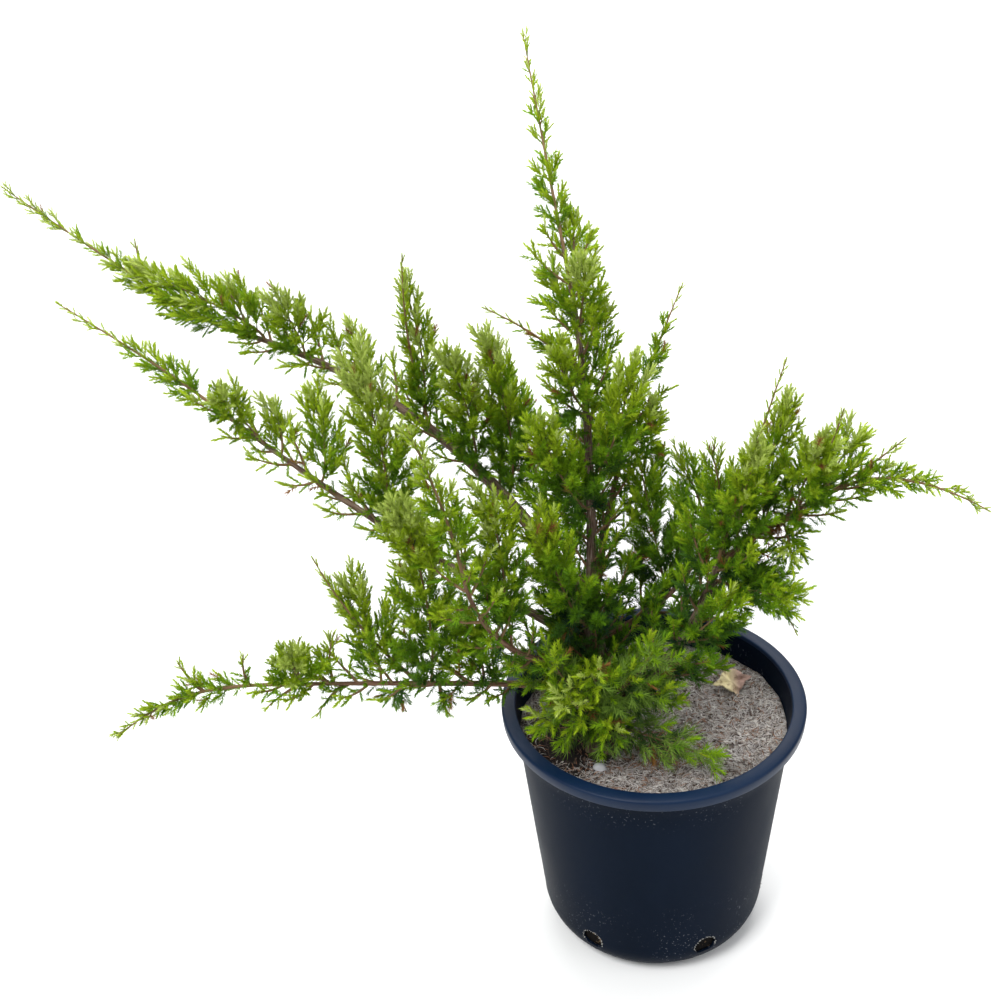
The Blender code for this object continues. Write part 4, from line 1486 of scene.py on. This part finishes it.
    def grow_plume(self, plume: Plume) -> None:
        """Twigs and sprigs round one stem."""
        rule = rule_for(plume.name)
        length = length_of(plume.stem)
        self.twigs.append((plume.stem, 0.0017 if plume.tip else 0.0015, 0.0005))
        turn = rule.uniform(0, 2 * math.pi)
        grown = 0.8 if plume.trailing else 1.0
        count = max(4, int(self.twig_span * length / self.twig_spacing * grown))
        for i in range(count):
            share = self.twig_from + self.twig_span * (i + 0.5) / count
            turn += GOLDEN_ANGLE
            angle = self.angle_low + (self.angle_high - self.angle_low) * share
            angle *= rule.uniform(0.85, 1.12)
            onward = heading_at(plume.stem, share)
            out = aimed(onward, turn, angle)
            slim = 1.0 - 0.5 * max(0.0, share - 0.30) / 0.7 if plume.tip else 1.0
            if plume.tip and share > 0.5 and rule.uniform() < self.skipped_share:
                continue
            full = self.reach(plume, share) / math.sin(angle) * rule.uniform(0.62, 1.02)
            full = min(full, self.twig_longest) - 0.008 * slim
            root = along(plume.stem, share)
            # Painted light and shade: twigs high on their stem and those pointing up are dealt lighter
            # greens, those near the crown's heart darker ones; the paler tips are also young growth's own
            # colour.
            light = plume.tone + self.light_foot + self.light_rise * share + 0.10 * out[2]
            light += rule.normal(0, 0.07)
            light += self.painted_crown_shade(root)
            if full < self.twig_least:
                size = self.sprig_length * slim * rule.uniform(0.80, 1.10)
                self.sprigs.append(Sprig(root, out, size, plume.number, light))
                continue
            path = self.bent_twig(root, out, onward, full)
            if not self.has_room(path, plume):
                continue
            self.twigs.append((path, 0.0008, 0.0004))
            self.dress_twig(path, plume, light, slim, rule)
        last = heading_at(plume.stem, 0.99)
        size = self.sprig_length * (0.6 if plume.tip else 1.0)
        root = plume.stem[-1] - last * size * 0.8
        self.sprigs.append(Sprig(root, last, size, plume.number, plume.tone + 0.95))

    def has_room(self, path: np.ndarray, plume: Plume) -> bool:
        """Whether a twig's outer half stays in its own mass's space."""
        spots = path[2:]
        own = off_path(spots, plume.stem)
        others = off_paths(spots, self.main_stems)
        if plume.number < len(self.main_stems):
            others[:, plume.number] = np.inf
        return not bool((others.min(axis=1) < own * self.share_of_others).any())

    def painted_crown_shade(self, spot: np.ndarray) -> float:
        """Painted shade and light: how much darker foliage is near the crown's heart, and lighter far out."""
        away = float(np.linalg.norm(spot - np.array(self.crown_heart)))
        free = min(1.0, max(0.0, (away - self.heart_radius) / self.heart_fade))
        return self.heart_painted_shade + self.outer_painted_light * free

    def side_stem(self, path: np.ndarray, shoot: Shoot) -> np.ndarray:
        """The stem of a side shoot: it leaves its carrier aslant and turns into its own way."""
        start, aim = along(path, shoot.place), way(shoot.heading, shoot.rise)
        leave = unit(aim + heading_at(path, shoot.place) * 0.8) * shoot.length
        t = np.linspace(0, 1, self.stem_steps + 1)[:, None]
        end = start + aim * shoot.length
        return start + (end - start) * t + (leave - aim * shoot.length) * (0.5 * t * (1 - t))

    def add_plume(
        self,
        name: str,
        stem: np.ndarray,
        width: float,
        tone: float,
        tip: bool = False,
        trailing: bool = False,
    ) -> None:
        """Adds a plume that has no mass of its own, and grows it."""
        plume = Plume(name, len(self.plumes), stem, width, tone, tip, trailing)
        self.plumes.append(plume)
        self.grow_plume(plume)

    def grow_fringe(self, limb: str, fringe: Fringe) -> None:
        """Short side shoots straight on a limb, longer above it than below."""
        rule = rule_for(f"fringe_{limb}")
        axis = self.wood.axes[limb]
        span = self.fringe_last - fringe.first
        count = int(length_of(axis) * span / fringe.spacing)
        turn = rule.uniform(0, 2 * math.pi)
        for i in range(count):
            share = fringe.first + span * (i + rule.uniform(0.2, 0.8)) / count
            turn += GOLDEN_ANGLE
            onward = heading_at(axis, share)
            out = aimed(onward, turn, rule.uniform(0.75, 1.10))
            above = min(1.0, max(0.0, 0.5 + 0.7 * float(out[2])))
            length = (fringe.lower + (fringe.upper - fringe.lower) * above) * rule.uniform(0.72, 1.10)
            points = [along(axis, share)]
            for step in range(self.stem_steps):
                bend = out + np.array([0, 0, self.fringe_lift * step / self.stem_steps])
                bend = bend + onward * self.fringe_follow * step / self.stem_steps
                points.append(points[-1] + unit(bend) * (length / self.stem_steps))
            stem = np.array(points)
            if float(off_paths(stem[7:8], self.main_stems).min()) < self.fringe_room:
                continue
            tone = fringe.tone + self.fringe_tone
            self.add_plume(f"fringe_{limb}_{i}", stem, 0.62 * length, tone)

    def drop_strays(self) -> None:
        """Removes sprigs that would cross a limb, the pot or the soil, or sit deep in another mass."""
        roots = np.array([sprig.root for sprig in self.sprigs])
        aims = np.array([sprig.direction for sprig in self.sprigs])
        sizes = np.array([sprig.length for sprig in self.sprigs])[:, None]
        owner = np.array([sprig.plume for sprig in self.sprigs])
        tips, middles = roots + aims * sizes, roots + aims * sizes * 0.6
        kept = np.ones(len(roots), bool)
        own = np.zeros(len(roots))
        for plume in self.plumes:
            mine = owner == plume.number
            own[mine] = off_path(tips[mine], plume.stem)
        for number, stem in enumerate(self.main_stems):
            kept &= (owner == number) | (off_path(tips, stem) > own * self.share_of_others)
        for limb, axis in self.wood.axes.items():
            for i in range(0, len(axis) - 1, 7):
                near = self.wood.radius_on(limb, i / len(axis)) + self.bark_gap
                for spots in (tips, middles):
                    kept &= off_path(spots, axis[i : i + 8]) > near
        for spots in (tips, middles):
            out = np.hypot(spots[:, 0], spots[:, 1])
            over_lip = (out > self.lip_from) & (out < self.lip_to)
            kept &= ~(over_lip & (spots[:, 2] < POT_HEIGHT + self.pot_gap))
            kept &= spots[:, 2] > SOIL_TOP + self.pot_gap
        self.sprigs = [sprig for sprig, keep in zip(self.sprigs, kept) if keep]

    def grow(self) -> None:
        """Grows every mass, the skirt, the side shoots and the fringe of every limb."""
        for limb, shoots in SHOOTS.items():
            for number, shoot in enumerate(shoots, 1):
                name = f"foliage_{limb}_{number}"
                stem = self.stem(limb, shoot)
                plume = Plume(name, len(self.plumes), stem, shoot.width, shoot.tone, shoot.tip)
                plume.trailing = limb == "trunk" and shoot.place < self.trailing_below
                self.plumes.append(plume)
        self.main_stems = np.array([plume.stem for plume in self.plumes])
        for plume in list(self.plumes):
            self.grow_plume(plume)
        for number, shoot in enumerate(SKIRT, 1):
            stem = self.stem("trunk", shoot)
            self.add_plume(f"fringe_skirt_{number}", stem, shoot.width, shoot.tone, trailing=True)
        stems = {plume.name: plume.stem for plume in self.plumes}
        for carrier, shoots in SIDE_SHOOTS.items():
            path = stems[carrier] if carrier in stems else self.wood.axes[carrier]
            for number, shoot in enumerate(shoots, 1):
                stem = self.side_stem(path, shoot)
                self.add_plume(f"fringe_side_{carrier}_{number}", stem, shoot.width, shoot.tone, tip=True)
        for limb, fringe in FRINGES.items():
            self.grow_fringe(limb, fringe)
        self.drop_strays()


@dataclass(frozen=True)
class Habit:
    """How a sprig's needles sit: their number and size on a sprig 20 mm long, and their lean."""

    name: str
    needles: int
    length: float
    radius: float
    lean_foot: float
    lean_tip: float


CROWDED = Habit("crowded", 22, 0.0070, 0.00090, 46, 16)
SPLAYED = Habit("splayed", 20, 0.0105, 0.00066, 58, 22)
TRAILING = Habit("trailing", 15, 0.0150, 0.00060, 50, 18)

# How many of a tint's four sprig forms are crowded. The others splay, more of them in the shade,
# and the tints that aren't listed take the trailing forms.
CROWDED_OF_FOUR = {Tint.TIP: 4, Tint.BRIGHT: 4, Tint.FRESH: 3, Tint.GREEN: 2, Tint.DEEP: 1, Tint.BROWN: 1}

# The lightness above which a sprig is dealt each tint, and below the last of them the shade.
TINT_LIMITS = (
    (1.02, Tint.TIP),
    (0.80, Tint.BRIGHT),
    (0.62, Tint.FRESH),
    (0.44, Tint.GREEN),
    (0.26, Tint.DEEP),
)


@dataclass
class Foliage:
    """The twigs and the needles as joined meshes, the needles dealt out by tint."""

    growth: Growth
    variants: int = 4
    form_length: float = 0.020
    shoot_length: float = 0.019
    shoot_radius: float = 0.0007
    needle_span: float = 0.0180
    most_triangles: int = 190_000
    grey_below: float = 0.60
    grey_from: float = 0.36
    dead_share: float = 0.010
    withered_share: float = 0.40
    withered_place: float = 0.42
    withered_reach: float = 0.020

    def sprig_form(self, habit: Habit, variant: int) -> tuple[np.ndarray, np.ndarray]:
        """A sprig of length one up +Z: a thin shoot and its needles."""
        rule = rule_for(f"sprig_{habit.name}_{variant}")
        form = bmesh.new()
        middle = Matrix.Translation((0, 0, self.shoot_length / 2))
        self.spike(form, self.shoot_radius, self.shoot_length, middle)
        for i in range(habit.needles):
            share = (i + 0.4) / habit.needles
            turn = Matrix.Rotation(i * GOLDEN_ANGLE + rule.uniform(-0.3, 0.3), 4, "Z")
            lean = math.radians(habit.lean_foot + (habit.lean_tip - habit.lean_foot) * share)
            tilt = Matrix.Rotation(lean * rule.uniform(0.80, 1.20), 4, "Y")
            size = habit.length * (0.85 + 0.3 * math.sin(math.pi * share)) * rule.uniform(0.80, 1.15)
            rise = Matrix.Translation((0, 0, share * self.needle_span))
            up = Matrix.Translation((0, 0, size / 2)) @ Matrix.Rotation(math.pi, 4, "Z")
            corners = self.spike(form, habit.radius, size, rise @ turn @ tilt @ up)
            bmesh.ops.delete(form, geom=[self.inner_face(corners)], context="FACES_ONLY")
        bmesh.ops.remove_doubles(form, verts=form.verts, dist=0.000005)
        points, faces = as_arrays(form)
        return points / self.form_length, faces

    @staticmethod
    def spike(
        form: bmesh.types.BMesh, radius: float, length: float, place: Matrix
    ) -> list[bmesh.types.BMVert]:
        """Adds an open, three-sided spike to a form, and gives its corners."""
        made = bmesh.ops.create_cone(
            form, cap_ends=False, segments=3, radius1=radius, radius2=0.0, depth=length, matrix=place
        )
        return made["verts"]

    @staticmethod
    def inner_face(corners: Sequence[bmesh.types.BMVert]) -> bmesh.types.BMFace:
        """The face of a new needle that looks back at its shoot, where the needle is hollow."""
        faces = {face for corner in corners for face in corner.link_faces}
        for face in faces:
            face.normal_update()
        return max(faces, key=lambda face: face.normal.z)

    def placed(
        self,
        sprigs: Sequence[Sprig],
        forms: Sequence[tuple[np.ndarray, np.ndarray]],
        rule: np.random.Generator,
    ) -> tuple[np.ndarray, np.ndarray]:
        """All the given sprigs as the points and triangles of one mesh.

        Args:
            sprigs: the sprigs.
            forms: the forms that they take, as points and triangles.
            rule: the random numbers.

        Returns:
            The points and the triangles.
        """
        points, faces, start = [], [], 0
        choice = rule.integers(0, len(forms), len(sprigs))
        for variant, (shape, tris) in enumerate(forms):
            chosen = [sprig for sprig, pick in zip(sprigs, choice) if pick == variant]
            if not chosen:
                continue
            aims = unit(np.array([sprig.direction for sprig in chosen]))
            pole = np.where(np.abs(aims[:, 2:]) > 0.9, (1.0, 0.0, 0.0), (0.0, 0.0, 1.0))
            aside = unit(np.cross(aims, pole))
            other = np.cross(aims, aside)
            roll = rule.uniform(0, 2 * math.pi, len(chosen))[:, None]
            across = aside * np.cos(roll) + other * np.sin(roll)
            turns = np.stack([across, np.cross(aims, across), aims], axis=2)
            sizes = np.array([sprig.length for sprig in chosen])
            grown = np.einsum("nij,vj->nvi", turns, shape) * sizes[:, None, None]
            grown += np.array([sprig.root for sprig in chosen])[:, None]
            numbered = tris[None] + (start + np.arange(len(chosen)) * len(shape))[:, None, None]
            points.append(grown.reshape(-1, 3))
            faces.append(numbered.reshape(-1, 3))
            start += len(chosen) * len(shape)
        return np.concatenate(points), np.concatenate(faces)

    def tint_of(self, sprig: Sprig, rule: np.random.Generator) -> Tint:
        """The tint that a sprig is dealt by its lightness, now and then a dead brown."""
        withered = along(self.growth.wood.axes["right_arm"], self.withered_place)
        near = float(np.linalg.norm(sprig.root - withered)) < self.withered_reach
        if rule.uniform() < (self.withered_share if near else self.dead_share):
            return Tint.BROWN
        # The trailing sprigs' grey and dusk are one grey-green, lit and shaded: painted light and shade.
        if self.growth.plumes[sprig.plume].trailing and sprig.light < self.grey_below:
            return Tint.GREY if sprig.light > self.grey_from else Tint.DUSK
        return next((tint for limit, tint in TINT_LIMITS if sprig.light > limit), Tint.SHADE)

    def build_twigs(self) -> None:
        """The stems and twigs, which stand for all the masses."""
        long = [item for item in self.growth.twigs if len(item[0]) > 4]
        short = [item for item in self.growth.twigs if len(item[0]) == 4]
        nodes = [plume.name for plume in self.growth.plumes if not plume.name.startswith("fringe")]
        kinds = (
            ("plume_stems", long, 6, (0.17, 0.105, 0.05), nodes),
            ("plume_twigs", short, 3, (0.13, 0.17, 0.045), []),
        )
        for name, items, sides, colour, replaced in kinds:
            paths = np.array([path for path, _, _ in items])
            ends = np.array([(start, end) for _, start, end in items])
            share = np.linspace(0, 1, paths.shape[1])
            radii = ends[:, :1] * (1 - share) + ends[:, 1:] * share
            piece = tube_piece(name, paths, radii, sides)
            coat = PlainCoat(name, colour, 0.75, 0.2).material()
            finish_piece(piece, [coat], replaced)

    def build_needles(self) -> None:
        """The sprigs, joined by tint into pieces under the most triangles."""
        rule = rule_for("tints")
        crowded = [self.sprig_form(CROWDED, variant) for variant in range(self.variants)]
        splayed = [self.sprig_form(SPLAYED, variant) for variant in range(self.variants)]
        trailing = [self.sprig_form(TRAILING, variant) for variant in range(self.variants)]
        most = self.most_triangles // max(len(tris) for _, tris in crowded + splayed)
        dealt: dict[Tint, list[Sprig]] = {tint: [] for tint in Tint}
        for sprig in self.growth.sprigs:
            dealt[self.tint_of(sprig, rule)].append(sprig)
        for tint, sprigs in dealt.items():
            wear = (0.7, 0.1) if tint is Tint.BROWN else (0.6, 0.12)
            coat = PlainCoat(f"needles_{tint.value}", NEEDLE_COLOURS[tint], *wear).material()
            crowded_ones = CROWDED_OF_FOUR.get(tint)
            forms = trailing if crowded_ones is None else crowded[:crowded_ones] + splayed[crowded_ones:]
            for part, first in enumerate(range(0, len(sprigs), most), 1):
                name = f"needles_{tint.value}_{part}"
                mesh = joined_mesh(name, *self.placed(sprigs[first : first + most], forms, rule))
                finish_piece(piece_from(mesh, name), [coat])
        LOG.info("sprigs: %d", len(self.growth.sprigs))

    def build(self) -> None:
        """Makes the twigs and the needles."""
        self.build_twigs()
        self.build_needles()


# The studio


@dataclass
class Studio:
    """The pale floor, the soft lights and the camera."""

    camera_spot: tuple[float, float, float] = (-0.131, -1.230, 1.278)
    pitch: float = math.radians(32.95)
    roll: float = math.radians(-3.07)
    lens: float = 62.1
    sensor: float = 36.0
    nearest: float = 0.02
    farthest: float = 60.0
    floor_colour: Colour = (0.86, 0.86, 0.85)
    floor_size: float = 30.0
    floor_drop: float = 0.0004
    sky_colour: Colour = (0.95, 0.97, 1.0)
    sky_strength: float = 0.75

    def camera(self) -> None:
        """The camera, looking along +Y and down."""
        data = bpy.data.cameras.new("camera")
        data.lens = self.lens
        data.sensor_width = self.sensor
        data.clip_start = self.nearest
        data.clip_end = self.farthest
        made = shown("camera", data)
        ahead = Vector((0, math.cos(self.pitch), -math.sin(self.pitch)))
        above = Vector((0, math.sin(self.pitch), math.cos(self.pitch)))
        right = Vector((1, 0, 0)) * math.cos(self.roll) + above * math.sin(self.roll)
        upward = above * math.cos(self.roll) - Vector((1, 0, 0)) * math.sin(self.roll)
        frame = Matrix((right, upward, -ahead)).transposed().to_4x4()
        frame.translation = Vector(self.camera_spot)
        made.matrix_world = frame
        bpy.context.scene.camera = made

    def floor(self) -> None:
        """A broad pale floor."""
        form = bmesh.new()
        bmesh.ops.create_grid(form, x_segments=8, y_segments=8, size=self.floor_size)
        bmesh.ops.translate(form, verts=form.verts, vec=(0, 0, -self.floor_drop))
        floor = piece_from(form, "studio_floor")
        floor.data.materials.append(PlainCoat("studio_floor", self.floor_colour, 0.9, 0.1).material())

    def lamp(self, name: str, spot: Sequence[float], aim: Sequence[float], size: float, power: float) -> None:
        """A soft square lamp at a spot, facing an aim."""
        data = bpy.data.lights.new(name, "AREA")
        data.shape = "SQUARE"
        data.size = size
        data.energy = power
        made = shown(name, data)
        made.location = spot
        made.rotation_euler = (Vector(aim) - Vector(spot)).to_track_quat("-Z", "Y").to_euler()

    def build(self) -> None:
        """Sets the studio."""
        bpy.context.scene.view_settings.view_transform = "Standard"
        self.camera()
        self.floor()
        world = bpy.data.worlds.new("studio")
        world.use_nodes = True
        sky = world.node_tree.nodes["Background"].inputs
        sky["Color"].default_value = (*self.sky_colour, 1.0)
        sky["Strength"].default_value = self.sky_strength
        bpy.context.scene.world = world
        self.lamp("key", (-1.1, -1.3, 2.5), (-0.1, 0.0, 0.35), 1.0, 64.0)
        self.lamp("fill", (1.7, -1.0, 1.5), (0.0, 0.0, 0.3), 1.6, 10.0)
        self.lamp("top", (0.2, 0.5, 2.6), (-0.1, 0.0, 0.3), 1.4, 44.0)
        self.lamp("floor_wash", (0.0, 3.4, 2.6), (0.0, 4.0, 0.0), 2.6, 150.0)


def main() -> None:
    """Builds the finish."""
    logging.basicConfig(level=logging.INFO, format="%(name)s: %(message)s")
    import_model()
    Studio().build()
    NurseryPot().build()
    PottingMix().build()
    wood = Woodwork()
    wood.build()
    growth = Growth(wood)
    growth.grow()
    Foliage(growth).build()


if __name__ == "__main__":
    main()
